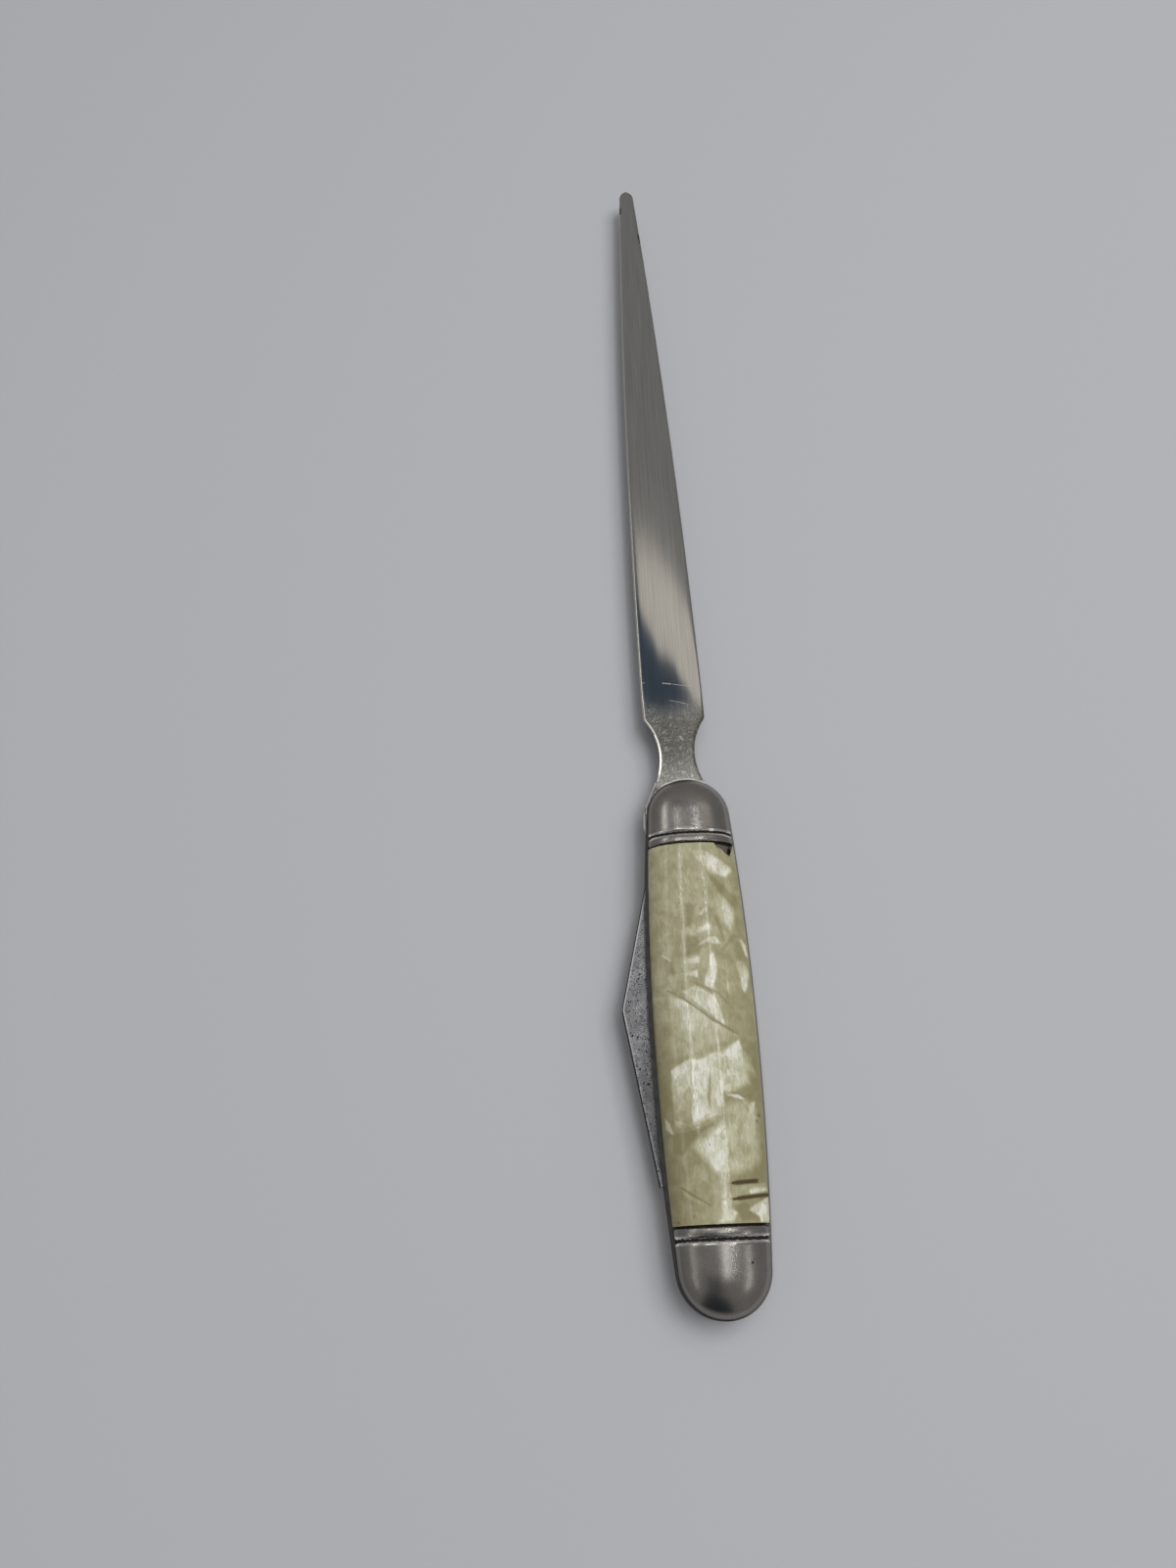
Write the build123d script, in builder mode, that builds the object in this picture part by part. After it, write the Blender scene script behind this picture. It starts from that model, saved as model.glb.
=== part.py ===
"""Letter opener with a folding pen blade in its handle.

Two steel liners hold a back spring, the opener's tang and the pen blade between them, and three headed
pins hold that frame together. A stamped metal shell closes each side: its two ends are the domed bolsters,
and its recessed waist carries a thin sheet of pearl celluloid.

Frame: +Y runs along the handle to the opener's tip, +X is the spring side, +Z is up, and the origin lies on
the table, in the middle of the flat land on the rear scale's crown. The pen blade is drawn closed.
"""

import os
from math import atan2, cos, radians, sin, sqrt

from build123d import *

# Handle
HANDLE_LENGTH = 83.5
HANDLE_WIDTH = 16.0
SIDE_SWELL = 1.3
BOLSTER_LENGTH = 12.2
CROWN_HEIGHT = 3.2
CROWN_LAND = 2.4
BOLSTER_DROP = 0.1

# Stamped shells and the celluloid scales on them
SHELL_WALL = 0.45
SCALE_THICKNESS = 0.6
SCALE_BED = 0.02
SCALE_END_GAP = 0.35
GROOVE_INSET = 1.65
GROOVE_WIDTH = 0.5
GROOVE_DEPTH = 0.2

# Liners, and the thickness of what lies between them
LINER_THICKNESS = 0.6
LINER_PROUD = 0.2
LINER_LIP = 0.4
CORE_THICKNESS = 1.8

# Pins
PIN_RADIUS = 1.1
PIN_FIT = 0.02
PIN_HEAD_RADIUS = 1.7
PIN_HEAD_HEIGHT = 0.5
HEAD_ROUNDING = 0.8
HEAD_ROOM = 0.3
PIN_INSET = 7.0

# Back spring
SPRING_FOOT = 2.1
SPRING_ARM = 2.4
SPRING_PAD = 13.5
SPRING_RAMP = 3.0
BOSS_WALL = 1.4
BOSS_LENGTH = 6.0
FOOT_REACH = 4.8
SEAT_PLAY = 0.03

# Pen blade
BLADE_SIDE_PLAY = 0.05
BLADE_PIVOT_PLAY = 0.04
BLADE_LEAN = 9.1
CAM_LIFT = 0.35
SPINE_OFFSET = 6.6
EDGE_OFFSET = 4.2
BLADE_REACH = 62.5
TIP_DROP = 3.0
CLIP_START = 39.4
CLIP_ROUND = 4.0
TANG_LENGTH = 12.4
TANG_STEP = 0.75
KICK_LENGTH = 8.5
CHOIL_LENGTH = 1.2
CHOIL_DEPTH = 1.0
BELLY_LENGTH = 15.0
SPINE_THICKNESS = 1.3
EDGE_THICKNESS = 0.24
NICK_LENGTH = 9.0
NICK_WIDTH = 0.8
NICK_DEPTH = 0.3
NICK_FROM_SPINE = 1.5
NICK_FROM_CLIP = 3.0

# Letter opener
OPENER_LENGTH = 142.5
OPENER_WIDTH = 10.8
OPENER_BULGE = 0.75
OPENER_OFFSET = -0.75
OPENER_LEAN = 0.69
OPENER_EDGE_THICKNESS = 0.95
OPENER_TIP_THICKNESS = 1.0
OPENER_TIP_WIDTH = 3.0
OPENER_TIP_ROUND = 2.2
OPENER_BEVEL = 0.25
LENS_ROOM = 0.6
NECK_WIDTH = 6.06
NECK_ROOT_WIDTH = 8.5
NECK_WAIST = 5.5
NECK_LENGTH = 12.4
NECK_LAP = 0.5
SHOULDER_WIDTH = 10.7
BLADE_RUN = 5.5
TANG_DEPTH = 5.25
TANG_PROUD = 0.5
TANG_BUMP_LENGTH = 3.7
TANG_BUMP_RISE = 0.25

# Heights of the layers, from the table up
REAR_SEAT = CROWN_HEIGHT
CORE_BOTTOM = REAR_SEAT + LINER_THICKNESS
CORE_MIDDLE = CORE_BOTTOM + CORE_THICKNESS / 2
CORE_TOP = CORE_BOTTOM + CORE_THICKNESS
FRONT_SEAT = CORE_TOP + LINER_THICKNESS

# The handle's outline: a long side arc that runs into a round end without a corner
HALF_LENGTH = HANDLE_LENGTH / 2
HALF_WIDTH = HANDLE_WIDTH / 2
END_RADIUS = HALF_WIDTH - SIDE_SWELL
END_CENTRE = HALF_LENGTH - END_RADIUS
SIDE_RADIUS = (HALF_WIDTH**2 + END_CENTRE**2 - END_RADIUS**2) / (2 * SIDE_SWELL)
SIDE_CENTRE = SIDE_RADIUS - HALF_WIDTH
ARC_JOINT = atan2(END_CENTRE, SIDE_CENTRE)
RIM_Y = HALF_LENGTH - BOLSTER_LENGTH
PIN_Y = HALF_LENGTH - PIN_INSET
TANG_HALF = END_RADIUS - SPRING_FOOT
SPRING_FACE = TANG_HALF + SEAT_PLAY
CROWN_ELLIPSE = CROWN_HEIGHT / sqrt(1 - (CROWN_LAND / HANDLE_WIDTH) ** 2)
SHELL_INSET = SCALE_THICKNESS + SCALE_BED
SPRING_PIN_X = HALF_WIDTH - SHELL_INSET - SHELL_WALL - HEAD_ROOM - PIN_HEAD_RADIUS


def side_x(y, margin=0.0):
    """Half-width of the handle at y, with its outline moved out by margin."""
    return sqrt((SIDE_RADIUS + margin) ** 2 - y**2) - SIDE_CENTRE


def end_point(angle, margin=0.0):
    """Point of the round end at an angle from +X, with the outline moved out by margin."""
    radius = END_RADIUS + margin
    return (radius * cos(angle), END_CENTRE + radius * sin(angle))


def bolster_form(inset, start):
    """Solid dome of the far bolster on its seat at z = 0, from y = start to the end, all of it inset."""
    joint = end_point(ARC_JOINT, -inset)
    halfway = (start + joint[1]) / 2
    rim_height = CROWN_ELLIPSE - BOLSTER_DROP - inset
    with BuildPart() as form:
        with BuildSketch():
            with BuildLine():
                rim = (side_x(start, -inset), start)
                tip = (0, HALF_LENGTH - inset)
                ThreePointArc(rim, (side_x(halfway, -inset), halfway), joint)
                ThreePointArc(joint, end_point((ARC_JOINT + radians(90)) / 2, -inset), tip)
                Polyline(tip, (0, start), rim)
            make_face()
        revolve(axis=Axis.Y)
        split(bisect_by=Plane.XY)
        scale(by=(1, 1, rim_height / side_x(RIM_Y, -inset)))
    return form.part


def waist_form(inset, reach):
    """Solid of the handle between the bolsters on its seat at z = 0, out to y = reach, all of it inset."""
    height = CROWN_ELLIPSE - inset
    with BuildPart() as form:
        for y in (-reach, 0, reach):
            half = side_x(y, -inset)
            with BuildSketch(Plane.XZ.offset(-y)):
                with BuildLine():
                    EllipticalCenterArc((0, 0), half, height, 0, arc_size=90)
                    EllipticalCenterArc((0, 0), half, height, 90, arc_size=90)
                    Line((-half, 0), (half, 0))
                make_face()
        loft()
    return form.part


def headed_pin(x, y):
    """Pin through both liners, with a low rounded head peened over each of them."""
    with BuildPart() as pin:
        with BuildSketch(Plane((x, y, REAR_SEAT - PIN_HEAD_HEIGHT))):
            Circle(PIN_HEAD_RADIUS)
        extrude(amount=PIN_HEAD_HEIGHT)
        with BuildSketch(Plane((x, y, FRONT_SEAT))):
            Circle(PIN_HEAD_RADIUS)
        extrude(amount=PIN_HEAD_HEIGHT)
        crowns = pin.faces().sort_by(Axis.Z)
        fillet(crowns[0].edges() + crowns[-1].edges(), PIN_HEAD_HEIGHT * HEAD_ROUNDING)
        with BuildSketch(Plane((x, y, REAR_SEAT))):
            Circle(PIN_RADIUS)
        extrude(amount=FRONT_SEAT - REAR_SEAT)
    return pin.part


os.makedirs("parts", exist_ok=True)

# Outline of the frame: the liners and the spring share it, with a lip on the side where the blade opens
with BuildSketch() as frame_outline:
    with BuildLine():
        joint_x, joint_y = end_point(ARC_JOINT, LINER_PROUD)
        end_y = HALF_LENGTH + LINER_PROUD
        ThreePointArc((joint_x, -joint_y), (HALF_WIDTH + LINER_PROUD, 0), (joint_x, joint_y))
        ThreePointArc((joint_x, joint_y), (0, end_y), (-joint_x, joint_y))
        ThreePointArc((-joint_x, joint_y), (-HALF_WIDTH - LINER_PROUD - LINER_LIP, 0), (-joint_x, -joint_y))
        ThreePointArc((-joint_x, -joint_y), (0, -end_y), (joint_x, -joint_y))
    make_face()

PIN_PLACES = ((0, -PIN_Y), (0, PIN_Y), (SPRING_PIN_X, 0))

# Liners: flat steel plates, pierced for the three pins
with BuildPart() as front_liner:
    with BuildSketch(Plane.XY.offset(CORE_TOP)):
        add(frame_outline.sketch)
        with Locations(*PIN_PLACES):
            Circle(PIN_RADIUS + PIN_FIT, mode=Mode.SUBTRACT)
    extrude(amount=LINER_THICKNESS)
front_liner.part.label = "front_liner"
export_step(front_liner.part, "parts/front_liner.step")

with BuildPart() as rear_liner:
    with BuildSketch(Plane.XY.offset(REAR_SEAT)):
        add(frame_outline.sketch)
        with Locations(*PIN_PLACES):
            Circle(PIN_RADIUS + PIN_FIT, mode=Mode.SUBTRACT)
    extrude(amount=LINER_THICKNESS)
rear_liner.part.label = "rear_liner"
export_step(rear_liner.part, "parts/rear_liner.step")

# Pins: one the pen blade turns on, one through the opener's tang and one through the spring's boss
with BuildPart() as blade_pivot_pin:
    add(headed_pin(0, -PIN_Y))
blade_pivot_pin.part.label = "blade_pivot_pin"
export_step(blade_pivot_pin.part, "parts/blade_pivot_pin.step")

with BuildPart() as opener_pin:
    add(headed_pin(0, PIN_Y))
opener_pin.part.label = "opener_pin"
export_step(opener_pin.part, "parts/opener_pin.step")

with BuildPart() as spring_pin:
    add(headed_pin(SPRING_PIN_X, 0))
spring_pin.part.label = "spring_pin"
export_step(spring_pin.part, "parts/spring_pin.step")

# Back spring: a bar along the closed side, with a foot at each tang, two thin arms and a boss for its pin
with BuildPart() as back_spring:
    with BuildSketch(Plane.XY.offset(CORE_BOTTOM)):
        add(frame_outline.sketch)
        with BuildLine():
            foot_y = PIN_Y + FOOT_REACH
            pad_y = PIN_Y - SPRING_PAD
            arm_x = HALF_WIDTH + LINER_PROUD - SPRING_ARM
            boss_x = SPRING_PIN_X - PIN_RADIUS - BOSS_WALL
            half_boss = BOSS_LENGTH / 2
            inner = Polyline(
                (SPRING_FACE, -foot_y),
                (SPRING_FACE, -pad_y),
                (arm_x, -pad_y + SPRING_RAMP),
                (arm_x, -half_boss - SPRING_RAMP),
                (boss_x, -half_boss),
                (boss_x, half_boss),
                (arm_x, half_boss + SPRING_RAMP),
                (arm_x, pad_y - SPRING_RAMP),
                (SPRING_FACE, pad_y),
                (SPRING_FACE, foot_y),
            )
            outer_x = HANDLE_WIDTH
            Polyline(inner @ 1, (outer_x, foot_y), (outer_x, -foot_y), inner @ 0)
        make_face(mode=Mode.INTERSECT)
        with Locations((SPRING_PIN_X, 0)):
            Circle(PIN_RADIUS + PIN_FIT, mode=Mode.SUBTRACT)
    extrude(amount=CORE_THICKNESS)
back_spring.part.label = "back_spring"
export_step(back_spring.part, "parts/back_spring.step")

# Pen blade, closed: its own plane has x along the spine to the tip and y towards the spine
lean = radians(BLADE_LEAN)
blade_along = Vector(-sin(lean), cos(lean), 0)
blade_across = Vector(-cos(lean), -sin(lean), 0)
blade_pivot = Vector(0, -PIN_Y, CORE_MIDDLE)
blade_plane = Plane(blade_pivot, x_dir=blade_along, z_dir=(0, 0, 1))
cam_radius = TANG_HALF + CAM_LIFT
flat_end = FOOT_REACH + SEAT_PLAY
kick_end = (
    -TANG_HALF * sin(lean) + KICK_LENGTH * cos(lean),
    -TANG_HALF * cos(lean) - KICK_LENGTH * sin(lean),
)
closed_foot = (-TANG_HALF * sin(lean), -TANG_HALF * cos(lean))


def half_thickness(across):
    """Half the ground blade's thickness, at a distance from the pivot's line towards the spine."""
    share = (across + EDGE_OFFSET) / (SPINE_OFFSET + EDGE_OFFSET)
    return (EDGE_THICKNESS + (SPINE_THICKNESS - EDGE_THICKNESS) * share) / 2


with BuildPart() as pen_blade:
    with BuildSketch(blade_plane):
        with BuildLine():
            tip = (BLADE_REACH, -TIP_DROP)
            belly = (BLADE_REACH - BELLY_LENGTH, -EDGE_OFFSET)
            back = Polyline(
                (0, 0),
                (0, TANG_HALF),
                (flat_end, TANG_HALF),
                (TANG_LENGTH, SPINE_OFFSET - TANG_STEP),
                (TANG_LENGTH, SPINE_OFFSET),
                (CLIP_START, SPINE_OFFSET),
                tip,
            )
            TangentArc(belly, tip, tangent=(1, 0))
            Polyline(
                belly,
                (TANG_LENGTH, -EDGE_OFFSET),
                (kick_end[0] + CHOIL_LENGTH, -EDGE_OFFSET + CHOIL_DEPTH),
                kick_end,
                closed_foot,
                (0, 0),
            )
        blank = make_face()
        fillet(blank.vertices().sort_by_distance((CLIP_START, SPINE_OFFSET))[0], CLIP_ROUND)
        Circle(cam_radius)
        with Locations((flat_end, TANG_HALF)):
            Rectangle(2 * cam_radius, cam_radius, align=(Align.MAX, Align.MIN), mode=Mode.SUBTRACT)
        with Locations(Location((*closed_foot, 0), (0, 0, -90 - BLADE_LEAN))):
            Rectangle(cam_radius, 2 * cam_radius, align=(Align.MIN, Align.CENTER), mode=Mode.SUBTRACT)
        Circle(PIN_RADIUS + BLADE_PIVOT_PLAY, mode=Mode.SUBTRACT)
    extrude(amount=CORE_THICKNESS / 2 - BLADE_SIDE_PLAY, both=True)
    grind_plane = Plane(blade_pivot + blade_along * TANG_LENGTH, x_dir=blade_across, z_dir=blade_along)
    with BuildSketch(grind_plane):
        with BuildLine():
            edge_side = -EDGE_OFFSET - CHOIL_DEPTH
            spine_side = SPINE_OFFSET + TANG_STEP
            Polyline(
                (edge_side, half_thickness(edge_side)),
                (spine_side, half_thickness(spine_side)),
                (spine_side, CORE_THICKNESS),
                (edge_side, CORE_THICKNESS),
                close=True,
            )
        make_face()
        mirror(about=Plane.XZ)
    extrude(amount=BLADE_REACH, mode=Mode.SUBTRACT)
    nick_across = SPINE_OFFSET - NICK_FROM_SPINE
    nick_radius = (NICK_LENGTH**2 / 4 + NICK_DEPTH**2) / (2 * NICK_DEPTH)
    nick_along = CLIP_START - NICK_FROM_CLIP - NICK_LENGTH / 2
    nick_height = NICK_DEPTH - half_thickness(nick_across) - nick_radius
    nick_root = blade_pivot + blade_across * nick_across
    with BuildSketch(Plane(nick_root, x_dir=blade_along, z_dir=-blade_across)):
        with Locations((nick_along, nick_height)):
            Circle(nick_radius)
    extrude(amount=NICK_WIDTH / 2, both=True, mode=Mode.SUBTRACT)
pen_blade.part.label = "pen_blade"
export_step(pen_blade.part, "parts/pen_blade.step")

# Letter opener: a flat tang between the liners, a waisted neck and a long blade with gently rounded faces.
# Its own plane has y along the blade, and leans a little towards the opening side, as the real one does.
opener_lean = radians(OPENER_LEAN)
opener_across = Vector(cos(opener_lean), sin(opener_lean), 0)
opener_along = Vector(-sin(opener_lean), cos(opener_lean), 0)
opener_root = Vector(OPENER_OFFSET, PIN_Y, CORE_MIDDLE)
opener_plane = Plane(opener_root, x_dir=opener_across, z_dir=(0, 0, 1))
neck_start = PIN_INSET + LINER_PROUD
opener_end = PIN_INSET + OPENER_LENGTH
lens_margin = OPENER_BULGE + LENS_ROOM
lens_sag = (CORE_THICKNESS - OPENER_EDGE_THICKNESS) / 2
lens_radius = ((OPENER_WIDTH / 2) ** 2 + lens_sag**2) / (2 * lens_sag)


def lens_section(along, half, thickness):
    """Lens-shaped section square to the opener: flat ends at +-half, thickness in the middle."""
    edge = thickness / 2 - (lens_radius - sqrt(lens_radius**2 - half**2))
    plane = Plane(opener_root + opener_along * along, x_dir=opener_across, z_dir=-opener_along)
    with BuildSketch(plane) as section:
        with BuildLine():
            ThreePointArc((-half, edge), (0, thickness / 2), (half, edge))
            Line((half, edge), (half, -edge))
            ThreePointArc((half, -edge), (0, -thickness / 2), (-half, -edge))
            Line((-half, -edge), (-half, edge))
        make_face()
    return section.sketch


with BuildPart() as opener_thickness:
    loft(
        [
            lens_section(neck_start, OPENER_WIDTH / 2 + lens_margin, CORE_THICKNESS),
            lens_section(opener_end + LENS_ROOM, OPENER_TIP_WIDTH / 2 + lens_margin, OPENER_TIP_THICKNESS),
        ]
    )
    with BuildSketch(opener_plane):
        with Locations((0, neck_start)):
            Rectangle(2 * HANDLE_WIDTH, HANDLE_WIDTH, align=(Align.CENTER, Align.MAX))
    extrude(amount=CORE_THICKNESS / 2, both=True)

with BuildPart() as opener_blade:
    tang_plane = Plane((0, PIN_Y, CORE_MIDDLE))
    with BuildSketch(tang_plane):
        with BuildLine():
            shoulder_y = FOOT_REACH + SEAT_PLAY
            centre_y = END_CENTRE - PIN_Y
            frame_radius = END_RADIUS + LINER_PROUD
            shoulder_x = sqrt(frame_radius**2 - (shoulder_y - centre_y) ** 2)
            bump_x = frame_radius + TANG_PROUD
            bump_y = TANG_BUMP_LENGTH / 2
            bump = ThreePointArc(
                (TANG_BUMP_RISE - bump_x, centre_y + bump_y),
                (-bump_x, centre_y),
                (TANG_BUMP_RISE - bump_x, centre_y - bump_y),
            )
            neck_right = opener_plane.from_local_coords((NECK_ROOT_WIDTH / 2, PIN_INSET, 0))
            neck_left = opener_plane.from_local_coords((-NECK_ROOT_WIDTH / 2, PIN_INSET, 0))
            Polyline(
                bump @ 1,
                (-TANG_HALF, -TANG_DEPTH),
                (TANG_HALF, -TANG_DEPTH),
                (TANG_HALF, shoulder_y),
                (shoulder_x, shoulder_y),
                tang_plane.to_local_coords(neck_right),
                tang_plane.to_local_coords(neck_left),
                bump @ 0,
            )
        make_face()
        Circle(PIN_RADIUS + PIN_FIT, mode=Mode.SUBTRACT)
    with BuildSketch(opener_plane):
        with BuildLine():
            neck_end = PIN_INSET + NECK_LENGTH
            tip_start = opener_end - OPENER_TIP_ROUND
            root = (NECK_ROOT_WIDTH / 2, PIN_INSET)
            neck = ThreePointArc(
                root,
                (NECK_WIDTH / 2, PIN_INSET + NECK_WAIST),
                (SHOULDER_WIDTH / 2, neck_end),
            )
            run = Line(neck @ 1, (OPENER_WIDTH / 2, neck_end + BLADE_RUN))
            side = SagittaArc(run @ 1, (OPENER_TIP_WIDTH / 2, tip_start), -OPENER_BULGE)
            EllipticalCenterArc((0, tip_start), OPENER_TIP_WIDTH / 2, OPENER_TIP_ROUND, 0, arc_size=90)
            lap_y = PIN_INSET - NECK_LAP
            Polyline((0, opener_end), (0, lap_y), (NECK_ROOT_WIDTH / 2, lap_y), root)
        make_face()
        mirror(about=Plane.YZ)
    extrude(amount=CORE_THICKNESS / 2, both=True)
    add(opener_thickness.part, mode=Mode.INTERSECT)
    beyond_handle = HALF_LENGTH + LINER_PROUD + NECK_LAP
    face_edges = opener_blade.edges().filter_by(
        lambda edge: edge.center().Y > beyond_handle and abs(edge.center().Z - CORE_MIDDLE) > OPENER_BEVEL
    )
    chamfer(face_edges, OPENER_BEVEL)
opener_blade.part.label = "opener_blade"
export_step(opener_blade.part, "parts/opener_blade.step")

# Stamped shell: two domed ends and a recessed waist in one thin sheet, with a turned groove near each rim
groove_y = RIM_Y + GROOVE_INSET
dome = bolster_form(0, RIM_Y)
dome_hollow = bolster_form(SHELL_WALL, RIM_Y + SHELL_WALL)
groove_floor = bolster_form(GROOVE_DEPTH, RIM_Y)
waist = waist_form(SHELL_INSET, RIM_Y + SHELL_WALL / 2)
waist_hollow = waist_form(SHELL_INSET + SHELL_WALL, RIM_Y + 2 * SHELL_WALL)

with BuildPart() as groove:
    with BuildSketch(Plane.XZ.offset(-groove_y)):
        Rectangle(HANDLE_WIDTH, 2 * CROWN_HEIGHT + GROOVE_WIDTH)
    extrude(amount=GROOVE_WIDTH / 2, both=True)
    add(groove_floor, mode=Mode.SUBTRACT)

with BuildPart() as shell:
    add(dome)
    add(dome_hollow, mode=Mode.SUBTRACT)
    add(groove.part, mode=Mode.SUBTRACT)
    mirror(about=Plane.XZ)
    add(waist)
    add(waist_hollow, mode=Mode.SUBTRACT)

with BuildPart() as front_shell:
    with Locations((0, 0, FRONT_SEAT)):
        add(shell.part)
front_shell.part.label = "front_shell"
export_step(front_shell.part, "parts/front_shell.step")

with BuildPart() as rear_shell:
    mirror(front_shell.part, about=Plane.XY.offset(CORE_MIDDLE))
rear_shell.part.label = "rear_shell"
export_step(rear_shell.part, "parts/rear_shell.step")

# Celluloid scale: a thin sheet formed over the waist, with a narrow flat land along its crown
scale_end = RIM_Y - SCALE_END_GAP
with BuildPart() as sheet:
    add(waist_form(0, scale_end))
    add(waist_form(SCALE_THICKNESS, RIM_Y), mode=Mode.SUBTRACT)
    with BuildSketch(Plane.XY.offset(CROWN_HEIGHT)):
        Rectangle(HANDLE_WIDTH, HANDLE_LENGTH)
    extrude(amount=CROWN_HEIGHT, mode=Mode.SUBTRACT)

with BuildPart() as front_scale:
    with Locations((0, 0, FRONT_SEAT)):
        add(sheet.part)
front_scale.part.label = "front_scale"
export_step(front_scale.part, "parts/front_scale.step")

with BuildPart() as rear_scale:
    mirror(front_scale.part, about=Plane.XY.offset(CORE_MIDDLE))
rear_scale.part.label = "rear_scale"
export_step(rear_scale.part, "parts/rear_scale.step")
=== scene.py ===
import random
from math import acos, atan2, cos, pi, radians, sin, sqrt

import bmesh
import bpy
import numpy as np
from mathutils import Matrix, Vector


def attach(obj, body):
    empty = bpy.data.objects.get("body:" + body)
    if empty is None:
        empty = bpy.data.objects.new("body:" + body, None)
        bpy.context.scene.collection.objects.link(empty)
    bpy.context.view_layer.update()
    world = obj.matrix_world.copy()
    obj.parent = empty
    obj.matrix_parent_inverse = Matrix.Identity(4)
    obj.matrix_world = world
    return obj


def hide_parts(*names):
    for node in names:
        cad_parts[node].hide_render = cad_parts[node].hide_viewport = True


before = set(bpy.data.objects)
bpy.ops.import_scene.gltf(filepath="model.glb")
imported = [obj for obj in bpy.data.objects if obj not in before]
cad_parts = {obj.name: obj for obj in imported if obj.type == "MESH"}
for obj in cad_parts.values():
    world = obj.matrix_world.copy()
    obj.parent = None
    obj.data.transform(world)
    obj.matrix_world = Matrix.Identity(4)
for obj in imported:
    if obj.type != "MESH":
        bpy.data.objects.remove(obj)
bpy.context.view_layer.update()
MM = 0.001


# Liners: two plates of thin sheet steel, blanked to the handle's outline and held by the pins.
# They were left unpolished, so they have gone dull and dark; they are paler towards the right, and the far rim is
# rubbed bright, with a painted highlight on it.
def linear(colour):
    """An sRGB hex colour as the linear RGBA that sockets take."""
    shares = [int(colour[i:i + 2], 16) / 255 for i in (1, 3, 5)]
    return [s / 12.92 if s <= 0.04045 else ((s + 0.055) / 1.055) ** 2.4 for s in shares] + [1.0]


def feed(tree, made, inputs):
    """Sets or links the inputs of a node. A node among them gives its first output in use."""
    for name, value in inputs.items():
        if isinstance(value, bpy.types.Node):
            value = next(output for output in value.outputs if output.enabled)
        if isinstance(value, bpy.types.NodeSocket):
            tree.links.new(value, made.inputs[name])
        else:
            made.inputs[name].default_value = value


def node(tree, kind, inputs=None, **settings):
    """Adds a node with its settings and feeds it. A shader node's kind comes without its prefix."""
    made = tree.nodes.new(kind if "Node" in kind else "ShaderNode" + kind)
    for name, value in settings.items():
        setattr(made, name, value)
    feed(tree, made, inputs or {})
    return made


def start_material(name):
    """A new material with its node tree, its Principled shader and its Object coordinates in mm."""
    material = bpy.data.materials.new(name)
    material.use_nodes = True
    tree = material.node_tree
    place = node(tree, "TexCoord").outputs["Object"]
    place = node(tree, "VectorMath", {0: place, "Scale": 1 / MM}, operation="SCALE")
    return material, tree, tree.nodes["Principled BSDF"], place


def finish_node(name, material):
    """Gives a CAD node its material."""
    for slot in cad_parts[name].material_slots:
        slot.material = material


# Cold-rolled sheet steel, tarnished: mottled dark grey with a weak, wide gloss.
tarnished_steel, tree, shader, place = start_material("Tarnished sheet steel")
MOTTLE = 1.4
PALER_RIGHT_TO = 5.0
RIM_RUB_HIGHLIGHT_FROM, RIM_RUB_HIGHLIGHT_TO = 40.9, 41.6
mottle = node(tree, "TexNoise", {"Vector": place, "Scale": 1 / MOTTLE, "Detail": 4.0})
across, along, _ = node(tree, "SeparateXYZ", {0: place}).outputs
# Paler towards the right side, and a painted highlight where the far rim is rubbed.
paler_right = node(tree, "MapRange", {0: across, 1: 0.0, 2: PALER_RIGHT_TO, 3: 0.0, 4: 0.7})
rubbed_and_highlight = node(tree, "MapRange", {0: along, 1: RIM_RUB_HIGHLIGHT_FROM, 2: RIM_RUB_HIGHLIGHT_TO}, interpolation_type="SMOOTHSTEP")
colour = linear("#3F3D3B")
for share, hue in ((mottle, "#6E6C69"), (paler_right, "#A3A19B"), (rubbed_and_highlight, "#E4E2DA")):
    colour = node(tree, "Mix", {0: share, 6: colour, 7: linear(hue)}, data_type="RGBA")
rough = node(tree, "MapRange", {0: rubbed_and_highlight, 3: 0.55, 4: 0.3})
feed(tree, shader, {"Base Color": colour, "Roughness": rough, "Metallic": 1.0})
finish_node("front_liner", tarnished_steel)
finish_node("rear_liner", tarnished_steel)

# Back spring: one bar of hardened steel along the closed side, ground flush with the liners after assembly.
# Its ground edge shows as a grey line with fine marks across it.
spring_steel, tree, shader, place = start_material("Ground spring steel")
GRIND_MARK, MARK_RUN = 0.2, 1.0
marks_at = node(tree, "Mapping", {0: place, 3: (1 / MARK_RUN, 1 / GRIND_MARK, 1 / MARK_RUN)})
marks = node(tree, "TexNoise", {"Vector": marks_at, "Scale": 1.0, "Detail": 3.0})
colour = node(tree, "Mix", {0: marks, 6: linear("#5F5D59"), 7: linear("#878580")}, data_type="RGBA")
rough = node(tree, "MapRange", {0: marks, 3: 0.35, 4: 0.55})
feed(tree, shader, {"Base Color": colour, "Roughness": rough, "Metallic": 1.0})
finish_node("back_spring", spring_steel)


# Letter opener: a strip of steel with gently rounded faces, a waisted neck and a tang between the liners.
# The blade follows one rule, a lens section along its edge's outline, so a node tree makes it; the tang is
# the CAD's. The blade is polished along its length, and the neck is matt and scratched.
MERGE = 0.001
SHARP = radians(35)


def plain_copy(piece):
    """Turns a piece's modifiers into plain mesh."""
    evaluated = piece.evaluated_get(bpy.context.evaluated_depsgraph_get())
    done = bpy.data.meshes.new_from_object(evaluated)
    piece.modifiers.clear()
    piece.data = done
    done.name = piece.name


def add_piece(name, data=None):
    """A new object in the scene, with an empty mesh unless other data is given."""
    piece = bpy.data.objects.new(name, data or bpy.data.meshes.new(name))
    bpy.context.scene.collection.objects.link(piece)
    return piece


def joined_form(mesh):
    """A mesh as a bmesh, with its split corners joined."""
    form = bmesh.new()
    form.from_mesh(mesh)
    bmesh.ops.remove_doubles(form, verts=form.verts, dist=MERGE * MM)
    return form


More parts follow.
